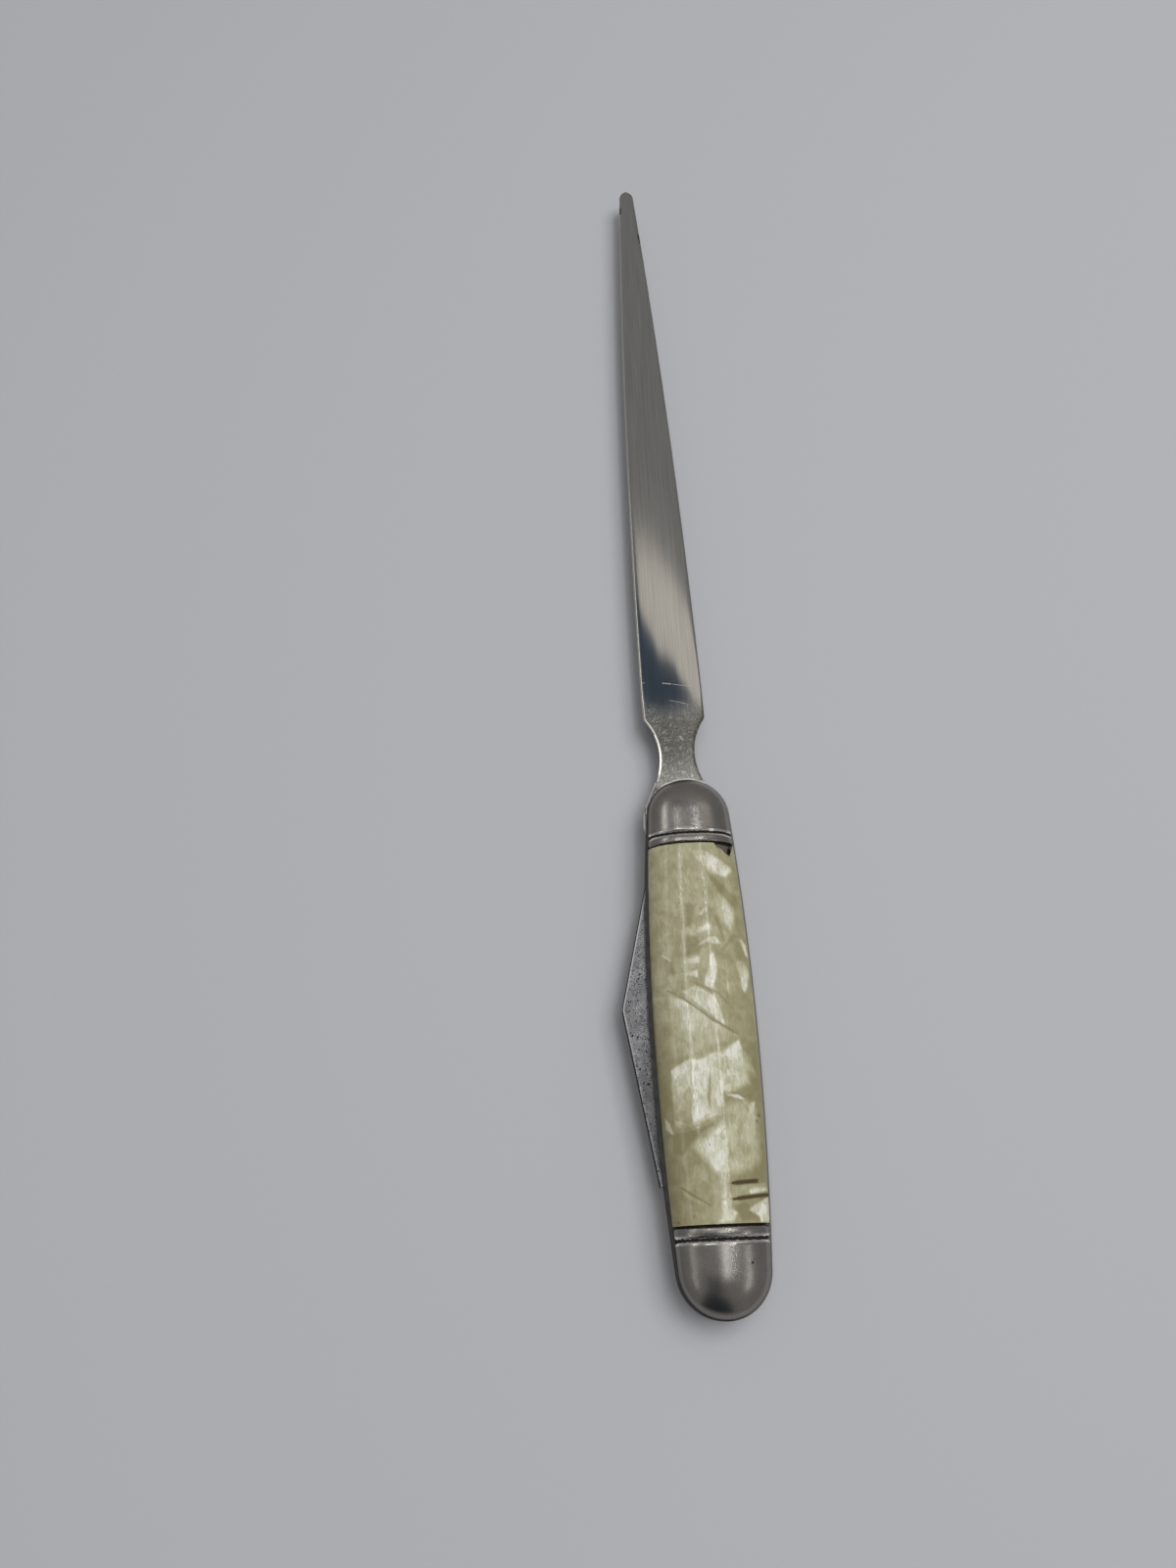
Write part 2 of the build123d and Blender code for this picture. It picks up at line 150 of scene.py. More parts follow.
def cad_form(name):
    """A CAD node's mesh as a bmesh, with its flat faces made whole."""
    form = joined_form(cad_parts[name].data)
    bmesh.ops.dissolve_limit(form, angle_limit=radians(0.3), verts=form.verts, edges=form.edges)
    return form


def close_form(form, piece):
    """Fills a form's open rims, turns its faces outward and gives it to a piece."""
    rims = [edge for edge in form.edges if edge.is_boundary]
    bmesh.ops.holes_fill(form, edges=rims, sides=0)
    bmesh.ops.recalc_face_normals(form, faces=form.faces)
    form.to_mesh(piece.data)
    form.free()


def combine(piece, other, operation):
    """Joins or cuts a piece with another closed form, which is then gone."""
    joining = piece.modifiers.new("combine", "BOOLEAN")
    joining.object = other
    joining.operation = operation
    joining.solver = "EXACT"
    plain_copy(piece)
    bpy.data.objects.remove(other)


def finish_piece(piece, material, body, hidden):
    """Gives a piece its material and smooth shading, and puts it in the place of a CAD node."""
    piece.data.materials.clear()
    piece.data.materials.append(material)
    piece.data.shade_smooth()
    piece.data.set_sharp_from_angle(angle=SHARP)
    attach(piece, body)
    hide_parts(hidden)


# Sizes in mm. The points of the edge's outline are given by their half-width and their distance from the pin.
OPENER_AT = (-0.75, 34.75, 4.7)
OPENER_LEAN = radians(0.69)
NECK_ROOT, NECK_WAIST, SHOULDER, SIDE_START = (4.2, 7.0), (3.03, 12.5), (5.35, 19.4), (5.4, 24.9)
SIDE_MIDDLE, TIP_START, TIP_END = (4.2, 86.12), (1.5, 147.3), (0.0, 149.5)
QUARTER_ROUND = 0.5523
TIP_START_HANDLE = (TIP_START[0], TIP_START[1] + QUARTER_ROUND * (TIP_END[1] - TIP_START[1]))
TIP_END_HANDLE = (TIP_START[0] * QUARTER_ROUND, TIP_END[1])
HALF_ROOT, HALF_TIP = 0.9, 0.5
LENS = 34.5
NECK_ROUND, BLADE_ROUND = 0.42, 0.3
NECK_DROP, BLADE_DROP = 0.25, 0.35
NECK_BEND, BLADE_BEND = 1.0, 2.0
ROUND_BLEND = 1.5
TANG_CUT = 7.15
STEPS, ROUND_STEPS = 14, 3
NECK_STEPS, SIDE_STEPS, TIP_STEPS = 40, 90, 24

blade_tree = tree = bpy.data.node_groups.new("Lens section blade", "GeometryNodeTree")
tree.interface.new_socket("Blade", in_out="OUTPUT", socket_type="NodeSocketGeometry")
sizes = {}
for kind, values in (
    ("NodeSocketVector", {
        "Neck root": NECK_ROOT, "Neck waist": NECK_WAIST, "Shoulder": SHOULDER, "Side start": SIDE_START,
        "Side middle": SIDE_MIDDLE, "Tip start": TIP_START, "Tip end": TIP_END,
        "Tip start handle": TIP_START_HANDLE, "Tip end handle": TIP_END_HANDLE,
    }),
    ("NodeSocketFloat", {
        "Root half-thickness": HALF_ROOT, "Tip half-thickness": HALF_TIP, "Lens radius": LENS,
        "Neck edge round": NECK_ROUND, "Blade edge round": BLADE_ROUND,
    }),
    ("NodeSocketInt", {"Steps": STEPS}),
    ("NodeSocketMaterial", {"Steel": None}),
):
    for name, value in values.items():
        socket = tree.interface.new_socket(name, in_out="INPUT", socket_type=kind)
        sizes[socket.identifier] = (kind, value)
given = node(tree, "NodeGroupInput").outputs

# The edge's outline, as points in order along the blade.
neck, side = (
    node(
        tree,
        "GeometryNodeCurveArc",
        {"Start": given[start], "Middle": given[middle], "End": given[end], "Resolution": count},
        mode="POINTS",
    )
    for start, middle, end, count in (
        ("Neck root", "Neck waist", "Shoulder", NECK_STEPS),
        ("Side start", "Side middle", "Tip start", SIDE_STEPS),
    )
)
run = node(tree, "GeometryNodeCurvePrimitiveLine", {"Start": given["Shoulder"], "End": given["Side start"]})
tip_ends = {end: given["Tip " + end.lower()] for end in ("Start", "Start Handle", "End Handle", "End")}
tip = node(tree, "GeometryNodeCurvePrimitiveBezierSegment", {"Resolution": TIP_STEPS, **tip_ends})
joined = node(tree, "GeometryNodeJoinGeometry")
for part in (neck, run, side, tip):
    feed(tree, joined, {0: part})
edge = node(tree, "GeometryNodeCurveToMesh", {"Curve": joined})
edge = node(tree, "GeometryNodeMergeByDistance", {"Geometry": edge, "Distance": MERGE * MM})
position = node(tree, "GeometryNodeInputPosition")
ahead = node(tree, "SeparateXYZ", {0: position}).outputs[1]
edge = node(tree, "GeometryNodeSortElements", {"Geometry": edge, "Sort Weight": ahead})
rows = node(tree, "GeometryNodeAttributeDomainSize", {"Geometry": edge}).outputs["Point Count"]

# A grid with one row for each point of the edge, bent to the upper half of the section.
steps = given["Steps"]
columns = node(tree, "Math", {0: steps, 1: 2.0, 2: 1.0}, operation="MULTIPLY_ADD")
grid = node(tree, "GeometryNodeMeshGrid", {"Vertices X": columns, "Vertices Y": rows})
index = node(tree, "GeometryNodeInputIndex")
row = node(tree, "Math", {0: index, 1: rows}, operation="MODULO")
column = node(tree, "Math", {0: index, 1: rows}, operation="DIVIDE")
column = node(tree, "Math", {0: column}, operation="FLOOR")
at_edge = node(
    tree,
    "GeometryNodeSampleIndex",
    {"Geometry": edge, "Value": position, "Index": row},
    data_type="FLOAT_VECTOR",
)
at_edge = node(tree, "SeparateXYZ", {0: at_edge}).outputs
across = node(tree, "Math", {0: column, 1: steps}, operation="SUBTRACT")
to_side = node(tree, "Math", {0: across}, operation="SIGN")
step = node(tree, "Math", {0: across}, operation="ABSOLUTE")
last = node(tree, "Math", {0: steps, 1: 0.5}, operation="SUBTRACT")
on_rim = node(tree, "Math", {0: step, 1: last}, operation="GREATER_THAN")
wall = node(tree, "Math", {0: steps, 1: 1.0}, operation="SUBTRACT")
last = node(tree, "Math", {0: wall, 1: ROUND_STEPS}, operation="SUBTRACT")
on_face = node(tree, "MapRange", {0: step, 1: 0.0, 2: last})
on_round = node(tree, "MapRange", {0: step, 1: last, 2: wall})
past_neck = {0: at_edge[1], 1: SHOULDER[1] * MM, 2: (SHOULDER[1] + ROUND_BLEND) * MM}
edge_round, bend, steep = (
    node(tree, "MapRange", {**past_neck, 3: on_neck, 4: on_blade})
    for on_neck, on_blade in (
        (given["Neck edge round"], given["Blade edge round"]),
        (NECK_BEND, BLADE_BEND),
        (NECK_DROP, BLADE_DROP),
    )
)
edge_round = node(tree, "Math", {0: edge_round, 1: at_edge[0]}, operation="MINIMUM")
face = node(tree, "Math", {0: at_edge[0], 1: edge_round}, operation="SUBTRACT")
on_face = node(tree, "Math", {0: face, 1: on_face}, operation="MULTIPLY")
out = node(tree, "Math", {0: edge_round, 1: on_round, 2: on_face}, operation="MULTIPLY_ADD")
at_root, at_tip = given["Root half-thickness"], given["Tip half-thickness"]
half = node(tree, "MapRange", {0: at_edge[1], 1: NECK_ROOT[1] * MM, 2: TIP_END[1] * MM, 3: at_root, 4: at_tip})
round_by = node(tree, "Math", {0: given["Lens radius"], 1: 2.0}, operation="MULTIPLY")
off_rim = node(tree, "Math", {0: 1.0, 1: on_rim}, operation="SUBTRACT")
fall, drop, high = out, on_round, half
for operation, by in (("POWER", 2.0), ("DIVIDE", round_by)):
    fall = node(tree, "Math", {0: fall, 1: by}, operation=operation)
for operation, by in (("POWER", bend), ("MULTIPLY", edge_round), ("MULTIPLY", steep)):
    drop = node(tree, "Math", {0: drop, 1: by}, operation=operation)
for operation, by in (("SUBTRACT", fall), ("SUBTRACT", drop), ("MULTIPLY", off_rim)):
    high = node(tree, "Math", {0: high, 1: by}, operation=operation)
out = node(tree, "Math", {0: out, 1: to_side}, operation="MULTIPLY")
bent = node(tree, "CombineXYZ", {0: out, 1: at_edge[1], 2: high})
upper = node(tree, "GeometryNodeSetPosition", {"Geometry": grid, "Position": bent})
lower = node(tree, "GeometryNodeTransform", {"Geometry": upper, "Scale": (1, 1, -1)})
lower = node(tree, "GeometryNodeFlipFaces", {"Mesh": lower})
both = node(tree, "GeometryNodeJoinGeometry")
for part in (upper, lower):
    feed(tree, both, {0: part})
whole = node(tree, "GeometryNodeMergeByDistance", {"Geometry": both, "Distance": MERGE * MM})
whole = node(
    tree,
    "GeometryNodeTransform",
    {"Geometry": whole, "Translation": [c * MM for c in OPENER_AT], "Rotation": (0, 0, OPENER_LEAN)},
)
whole = node(tree, "GeometryNodeRealizeInstances", {"Geometry": whole})
whole = node(tree, "GeometryNodeSetMaterial", {"Geometry": whole, "Material": given["Steel"]})
node(tree, "NodeGroupOutput", {0: whole})

# Blade steel: a mirror along the blade, drawn out by fine polishing lines, and matt with crossed scratches on
# the neck. The finishes begin and end at places in mm along the object, from the handle's middle.
polished_steel, tree, shader, place = start_material("Polished blade steel")
POLISH_LINE, POLISH_RUN = 0.25, 14.0
SCRATCH_LINE, SCRATCH_RUN = 0.1, 1.5
SPECK = 0.2
CLEAR_FROM, CLEAR_TO = 40.6, 41.4
WEAR_AND_SHEEN_FROM, WEAR_AND_SHEEN_TO = 42.0, 47.5
DRAWN_FROM, DRAWN_TO = 50.0, 54.0
POLISH_FROM, POLISH_TO = 51.5, 59.5
POLISH_STRAY = 2.0
GLASSY_TO, SATIN_FROM = 62.0, 90.0
along = node(tree, "SeparateXYZ", {0: place}).outputs[1]
lines_at = node(tree, "Mapping", {0: place, 3: (1 / POLISH_LINE, 1 / POLISH_RUN, 1 / POLISH_LINE)})
lines = node(tree, "TexNoise", {"Vector": lines_at, "Scale": 1.0, "Detail": 2.0})
specks = node(tree, "TexNoise", {"Vector": place, "Scale": 1 / SPECK, "Detail": 5.0})
stray = node(tree, "MapRange", {0: specks, 1: 0.3, 2: 0.7, 3: -POLISH_STRAY, 4: POLISH_STRAY})
stray = node(tree, "Math", {0: along, 1: stray}, operation="ADD")
polish = node(tree, "MapRange", {0: stray, 1: POLISH_FROM, 2: POLISH_TO}, interpolation_type="SMOOTHERSTEP")
drawn = node(tree, "MapRange", {0: along, 1: DRAWN_FROM, 2: DRAWN_TO}, interpolation_type="SMOOTHSTEP")
matt = node(tree, "MapRange", {0: specks, 1: 0.36, 2: 0.66})
hairs = node(tree, "MapRange", {0: specks, 1: 0.70, 2: 0.78})
near_root = node(tree, "MapRange", {0: along, 1: WEAR_AND_SHEEN_FROM, 2: WEAR_AND_SHEEN_TO, 3: 1.0, 4: 0.0})
in_front = node(tree, "MapRange", {0: along, 1: CLEAR_FROM, 2: CLEAR_TO})
near_root = node(tree, "Math", {0: near_root, 1: in_front}, operation="MULTIPLY")
for angle in (28, -40, 75):
    turned = node(tree, "Mapping", {0: place, 2: (0, 0, radians(angle))})
    turned = node(tree, "Mapping", {0: turned, 3: (1 / SCRATCH_LINE, 1 / SCRATCH_RUN, 0)})
    hair = node(tree, "TexNoise", {"Vector": turned, "Scale": 1.0, "Detail": 1.0})
    hair = node(tree, "Math", {0: near_root, 1: 0.06, 2: hair}, operation="MULTIPLY_ADD")
    hair = node(tree, "MapRange", {0: hair, 1: 0.67, 2: 0.72})
    hairs = node(tree, "Math", {0: hairs, 1: hair}, operation="MAXIMUM")
# Near the root the neck's colour is lighter: wear, with a painted sheen over it.
wear_and_sheen = node(tree, "Math", {0: near_root, 1: 0.45}, operation="MULTIPLY")
dull, bright = linear("#67665F"), linear("#A3A29F")
for share, hue in ((matt, "#9B9A91"), (wear_and_sheen, "#D2D0C8"), (hairs, "#F2F0E8")):
    dull = node(tree, "Mix", {0: share, 6: dull, 7: linear(hue)}, data_type="RGBA")
bright = node(tree, "Mix", {0: lines, 6: bright, 7: linear("#CAC9C5")}, data_type="RGBA")
colour = node(tree, "Mix", {0: polish, 6: dull, 7: bright}, data_type="RGBA")
glassy = node(tree, "MapRange", {0: along, 1: GLASSY_TO, 2: SATIN_FROM, 3: 0.08, 4: 0.12})
rough = node(tree, "Mix", {0: polish, 2: 0.34, 3: glassy})
# Wear and painted light over that finish, each with its colour and roughness: the rubbed edge, with a painted
# highlight on its left side, a narrow ring of painted highlight on the neck by the shell's end, and thin marks
# between two points, bright scratches and dark nicks.
END_CENTRE = 35.05
RING_OUTSIDE, RING_INSIDE = 7.4, 7.3
SCRATCHED, NICKED = "#F4F3EF", "#2B2A2A"
MARK_FADE = 0.3
rubbed_and_highlight = node(tree, "Attribute", attribute_name="rubbed_and_highlight").outputs["Fac"]
flat = node(tree, "VectorMath", {0: place, 1: (1, 1, 0)}, operation="MULTIPLY")
from_dome = node(tree, "VectorMath", {0: flat, 1: (0, END_CENTRE, 0)}, operation="DISTANCE")
ring_highlight = node(tree, "MapRange", {0: from_dome, 1: RING_OUTSIDE, 2: RING_INSIDE})
ring_highlight = node(tree, "Math", {0: ring_highlight, 1: in_front}, operation="MULTIPLY")
wear = [(rubbed_and_highlight, "#DEDCD2", 0.14), (ring_highlight, "#FAF8F2", 0.5)]
for x0, y0, x1, y1, width, hue in (
    (-6.2, 61.4, -5.5, 61.4, 0.06, SCRATCHED),
    (-2.7, 61.1, -0.9, 60.8, 0.11, SCRATCHED),
    (-0.9, 60.8, 2.5, 60.2, 0.05, SCRATCHED),
    (-1.7, 57.6, 1.4, 56.8, 0.05, SCRATCHED),
    (-0.3, 50.7, 0.2, 49.7, 0.08, SCRATCHED),
    (-5.0, 41.8, -7.0, 37.1, 0.2, SCRATCHED),
    (-7.3, 37.2, -7.3, 33.4, 0.16, SCRATCHED),
    (-3.95, 179.6, -4.05, 177.2, 0.2, NICKED),
    (-0.62, 171.4, -0.3, 168.6, 0.2, NICKED),
):
    start, end = Vector((x0, y0, 0)), Vector((x1, y1, 0))
    reach = (end - start).length / 2
    run = (end - start).normalized()
    offset = node(tree, "VectorMath", {0: flat, 1: (start + end) / 2}, operation="SUBTRACT")
    mark = 1.0
    for direction, full, none in (
        (run, reach - MARK_FADE, reach),
        ((-run.y, run.x, 0), width / 3, width),
    ):
        away = node(tree, "VectorMath", {0: offset, 1: direction}, operation="DOT_PRODUCT")
        away = node(tree, "Math", {0: away}, operation="ABSOLUTE")
        away = node(tree, "MapRange", {0: away, 1: none, 2: full})
        mark = node(tree, "Math", {0: away, 1: mark}, operation="MULTIPLY")
    wear.append((mark, hue, 0.7))
for share, hue, roughness in wear:
    colour = node(tree, "Mix", {0: share, 6: colour, 7: linear(hue)}, data_type="RGBA")
    rough = node(tree, "Mix", {0: share, 2: rough, 3: roughness})
relief = node(tree, "Mix", {0: drawn, 2: specks, 3: lines})
bump = node(tree, "Bump", {"Height": relief, "Strength": 0.1, "Distance": 0.02 * MM})
feed(tree, shader, {"Base Color": colour, "Roughness": rough, "Normal": bump, "Metallic": 1.0})

opener = add_piece("polished_opener")
rule = opener.modifiers.new("Lens section blade", "NODES")
rule.node_group = blade_tree
for identifier, (kind, value) in sizes.items():
    if kind == "NodeSocketVector":
        rule[identifier] = (value[0] * MM, value[1] * MM, 0.0)
    elif kind == "NodeSocketFloat":
        rule[identifier] = value * MM
    elif kind == "NodeSocketInt":
        rule[identifier] = value
    else:
        rule[identifier] = polished_steel
plain_copy(opener)
close_form(joined_form(opener.data), opener)
tang = add_piece("tang")
form = cad_form("opener_blade")
run_along = Vector((-sin(OPENER_LEAN), cos(OPENER_LEAN), 0))
bmesh.ops.bisect_plane(
    form,
    geom=form.verts[:] + form.edges[:] + form.faces[:],
    plane_co=(Vector(OPENER_AT) + TANG_CUT * run_along) * MM,
    plane_no=run_along,
    clear_outer=True,
)
close_form(form, tang)
combine(opener, tang, "UNION")
# The rounded edge's faces on its left side, which face the light, take a painted highlight over their rubbing.
RUBBED_HIGHLIGHT_LEAST, RUBBED_HIGHLIGHT_MOST = radians(10), radians(45)
rubbed_and_highlight = opener.data.attributes.new("rubbed_and_highlight", "FLOAT", "FACE")
for face, share in zip(opener.data.polygons, rubbed_and_highlight.data):
    tilt = acos(min(1.0, abs(face.normal.z)))
    share.value = float(face.normal.x < 0 and RUBBED_HIGHLIGHT_LEAST < tilt < RUBBED_HIGHLIGHT_MOST)
finish_piece(opener, polished_steel, "handle", "opener_blade")

# Pen blade: a small clip-point blade, ground from both faces, that turns on its pin at the butt.
# It is plain carbon steel, light grey with dark pits where rust has eaten it; along its back a rubbed edge has a
# painted highlight, with painted shade at the very edge.
pitted_steel, tree, shader, place = start_material("Pitted carbon steel")
PIT, GRAIN, CLOUD = 0.5, 0.11, 2.5
grain, pits, cloud = (
    node(tree, "TexNoise", {"Vector": place, "Scale": 1 / size, "Detail": detail})
    for size, detail in ((GRAIN, 3.0), (PIT, 4.0), (CLOUD, 2.0))
)
pits = node(tree, "MapRange", {0: pits, 1: 0.62, 2: 0.68}, interpolation_type="SMOOTHSTEP")
fleck = node(tree, "MapRange", {0: grain, 1: 0.38, 2: 0.64})
shade = node(tree, "MapRange", {0: cloud, 1: 0.35, 2: 0.65, 3: 0.4, 4: 0.0})
# How far each place lies inside the blade's back and clip, in mm: painted shade at the very edge, then rubbed
# bright with a painted highlight, most of all from the middle of the blade to its tip.
PIVOT = Vector((0, -34.75, 4.7))
BLADE_LEAN = radians(9.1)
BACK = 6.6
CLIP_END, CLIP_START = Vector((62.5, -3.0)), Vector((40.14, 6.29))
DARK_FROM, DARK_TO = 0.18, 0.12
RUB_HIGHLIGHT_FROM, RUB_HIGHLIGHT_TO = 0.6, 0.46
RUB_HIGHLIGHT_STRAY = 0.35
MOST_FROM, MOST_TO = 30.0, 39.0
own_place = node(tree, "Mapping", {0: place, 1: PIVOT, 2: (0, 0, BLADE_LEAN + pi / 2)}, vector_type="TEXTURE")
clip_run = (CLIP_END - CLIP_START).normalized()
across_clip = (clip_run.y, -clip_run.x, 0)
from_clip = node(tree, "VectorMath", {0: own_place, 1: (*CLIP_START, 0)}, operation="SUBTRACT")
from_clip = node(tree, "VectorMath", {0: from_clip, 1: across_clip}, operation="DOT_PRODUCT")
own_place = node(tree, "SeparateXYZ", {0: own_place}).outputs
from_back = node(tree, "Math", {0: BACK, 1: own_place[1]}, operation="SUBTRACT")
inside = node(tree, "Math", {0: from_back, 1: from_clip}, operation="MINIMUM")
edge_shade = node(tree, "MapRange", {0: inside, 1: DARK_FROM, 2: DARK_TO})
inside = node(tree, "Math", {0: grain, 1: RUB_HIGHLIGHT_STRAY, 2: inside}, operation="MULTIPLY_ADD")
rubbed_and_highlight = node(tree, "MapRange", {0: inside, 1: RUB_HIGHLIGHT_FROM, 2: RUB_HIGHLIGHT_TO})
most = node(tree, "MapRange", {0: own_place[0], 1: MOST_FROM, 2: MOST_TO, 3: 0.08, 4: 0.9})
rubbed_and_highlight = node(tree, "Math", {0: rubbed_and_highlight, 1: most}, operation="MULTIPLY")
# The colour: grain, clouds and pits, then the painted highlight and the painted shade along the back.
colour = linear("#4C4C4E")
for share, hue in (
    (fleck, "#E2E2E4"), (shade, "#4A4A4C"), (pits, "#2A2828"), (rubbed_and_highlight, "#FAFAF8"), (edge_shade, "#333335"),
):
    colour = node(tree, "Mix", {0: share, 6: colour, 7: linear(hue)}, data_type="RGBA")
rough = node(tree, "MapRange", {0: grain, 3: 0.3, 4: 0.55})
rough = node(tree, "Mix", {0: rubbed_and_highlight, 2: rough, 3: 0.6})
height = node(tree, "Math", {0: grain, 1: pits}, operation="SUBTRACT")
bump = node(tree, "Bump", {"Height": height, "Strength": 0.4, "Distance": 0.03 * MM})
feed(tree, shader, {"Base Color": colour, "Roughness": rough, "Normal": bump, "Metallic": 1.0})

GROUND_FROM = 12.3
BACK_ROUND = 0.15
CORNER = radians(50)
NEAR, LEVEL = 0.1, 0.5
pen_blade = add_piece("pitted_pen_blade")
form = cad_form("pen_blade")
back = []
for line in form.edges:
    if line.calc_face_angle(0) < CORNER:
        continue
    ends = [Matrix.Rotation(-BLADE_LEAN - pi / 2, 3, "Z") @ (corner.co / MM - PIVOT) for corner in line.verts]
    on_back = all(end.y > CLIP_START.y - NEAR or end.x > CLIP_START.x - NEAR for end in ends)
    past_tang = all(end.x > GROUND_FROM and end.y > CLIP_END.y - NEAR for end in ends)
    if on_back and past_tang and abs(ends[0].z - ends[1].z) < LEVEL:
        back.append(line)
bmesh.ops.bevel(form, geom=back, offset=BACK_ROUND * MM, segments=2, affect="EDGES", clamp_overlap=True)
close_form(form, pen_blade)
finish_piece(pen_blade, pitted_steel, "folding_blade", "pen_blade")

# Pins: soft steel rod, peened into a low head over each liner. The shells hide them.
# Hammered ends have a dimpled, dull grey surface.
peened_steel, tree, shader, place = start_material("Peened soft steel")
DIMPLE = 0.5
dimples = node(tree, "TexVoronoi", {"Vector": place, "Scale": 1 / DIMPLE})
colour = node(tree, "Mix", {0: dimples, 6: linear("#77756F"), 7: linear("#9C9A94")}, data_type="RGBA")
bump = node(tree, "Bump", {"Height": dimples, "Strength": 0.3, "Distance": 0.05 * MM})
feed(tree, shader, {"Base Color": colour, "Roughness": 0.5, "Normal": bump, "Metallic": 1.0})
for pin in ("blade_pivot_pin", "opener_pin", "spring_pin"):
    finish_node(pin, peened_steel)

# Shells: thin steel, pressed to a domed end, a recessed waist and a domed end, then plated.
# The plating has worn to a soft grey shine on the domes, with dirt held in the turned line and at the rims,
# painted shade low on the sides and a painted highlight on the turned line's lips.
SIDE_RADIUS, SIDE_CENTRE = 479.85, 471.85
END_RADIUS = 6.7
SEAT, CORE_MIDDLE = 6.2, 4.7
CROWN, DOME_DROP = 3.2366, 0.1
SHEET, BED, SHELL_WALL = 0.6, 0.02, 0.45
RIM_PLACE, GROOVE_PLACE = 29.55, 31.2
WAIST_ROWS, DOME_ROWS, END_ROWS = 14, 6, 26
# The rim's rounded edge and the turned line's rounded lips: distance past the rim or from the line, and depth.
RIM_FORM = ((0.0, 0.2), (0.04, 0.12), (0.14, 0.06), (0.28, 0.025), (0.45, 0.005), (0.7, 0))
GROOVE_FORM = ((0.85, 0), (0.65, 0.015), (0.5, 0.05), (0.38, 0.1), (0.29, 0.16), (0.22, 0.2), (0.14, 0.21))


def side_x(y, inset=0.0):
    """Half-width of the handle at y, with its outline moved in."""
    return sqrt((SIDE_RADIUS - inset) ** 2 - y**2) - SIDE_CENTRE


def add_sheet(name, outer, inner, across):
    """A closed sheet between two grids of points in mm, with the same count of points across each row."""
    count = len(outer)
    faces = []
    for r in range(count // across - 1):
        first, last = r * across, (r + 1) * across - 1
        for a in range(first, last):
            faces.append((a, a + across, a + across + 1, a + 1))
            faces.append((a + count, a + count + 1, a + count + across + 1, a + count + across))
        faces.append((first, first + count, first + count + across, first + across))
        faces.append((last + across, last + count + across, last + count, last))
    last_row = count - across
    for c in range(across - 1):
        faces.append((c, c + 1, c + 1 + count, c + count))
        faces.append((last_row + c + 1, last_row + c, last_row + c + count, last_row + c + 1 + count))
    sheet = add_piece(name)
    sheet.data.from_pydata((np.concatenate([outer, inner]) * MM).tolist(), [], faces)
    close_form(joined_form(sheet.data), sheet)
    return sheet


def turned_over(sheet):
    """Turns a front sheet over, to the rear side of the handle."""
    sheet.data.transform(Matrix.Translation((0, 0, 2 * CORE_MIDDLE * MM)) @ Matrix.Rotation(pi, 4, "Y"))


def shell_rows():
    """Rows of the shell from its middle to its far end: y, half-width and height, outside and inside."""
    waist_in = SHEET + BED
    hollow_in = waist_in + SHELL_WALL
    turn = atan2(END_CENTRE, SIDE_CENTRE)
    joint = END_CENTRE + END_RADIUS * sin(turn)
    inner_joint = END_CENTRE + (END_RADIUS - SHELL_WALL) * sin(turn)
    inner_rim = RIM_PLACE + SHELL_WALL
    steep = (CROWN - DOME_DROP) / side_x(RIM_PLACE)
    inner_steep = (CROWN - DOME_DROP - SHELL_WALL) / side_x(RIM_PLACE, SHELL_WALL)
    outside, inside = [], []
    for y in np.linspace(0, RIM_PLACE, WAIST_ROWS):
        outside.append((y, side_x(y, waist_in), CROWN - waist_in))
        deep = y * inner_rim / RIM_PLACE
        inside.append((deep, side_x(deep, hollow_in), CROWN - hollow_in))
    bands = [(RIM_PLACE + past, drop) for past, drop in RIM_FORM]
    bands += [(GROOVE_PLACE - apart, drop) for apart, drop in GROOVE_FORM]
    bands += [(GROOVE_PLACE + apart, drop) for apart, drop in reversed(GROOVE_FORM)]
    bands += [(y, 0) for y in np.linspace(GROOVE_PLACE + 1.0, joint, DOME_ROWS)]
    for y, drop in bands:
        outside.append((y, side_x(y) - drop, side_x(y) * steep - drop))
        deep = inner_rim + (y - RIM_PLACE) * (inner_joint - inner_rim) / (joint - RIM_PLACE)
        inside.append((deep, side_x(deep, SHELL_WALL), side_x(deep, SHELL_WALL) * inner_steep))
    for angle in np.linspace(turn, pi / 2, END_ROWS)[1:]:
        for rows, radius, rise in ((outside, END_RADIUS, steep), (inside, END_RADIUS - SHELL_WALL, inner_steep)):
            rows.append((END_CENTRE + radius * sin(angle), radius * cos(angle), radius * cos(angle) * rise))
    return outside, inside


SHELL_TURNS = np.linspace(0, pi, 57)
grids = []
for rows in shell_rows():
    rows = [(-y, wide, high) for y, wide, high in reversed(rows[1:])] + rows
    grids.append(np.array([
        (wide * cos(t), y, SEAT + high * sin(t)) for y, wide, high in rows for t in SHELL_TURNS
    ]))
front_shell = add_sheet("front_plated_shell", *grids, len(SHELL_TURNS))
rear_shell = add_sheet("rear_plated_shell", *grids, len(SHELL_TURNS))
turned_over(rear_shell)

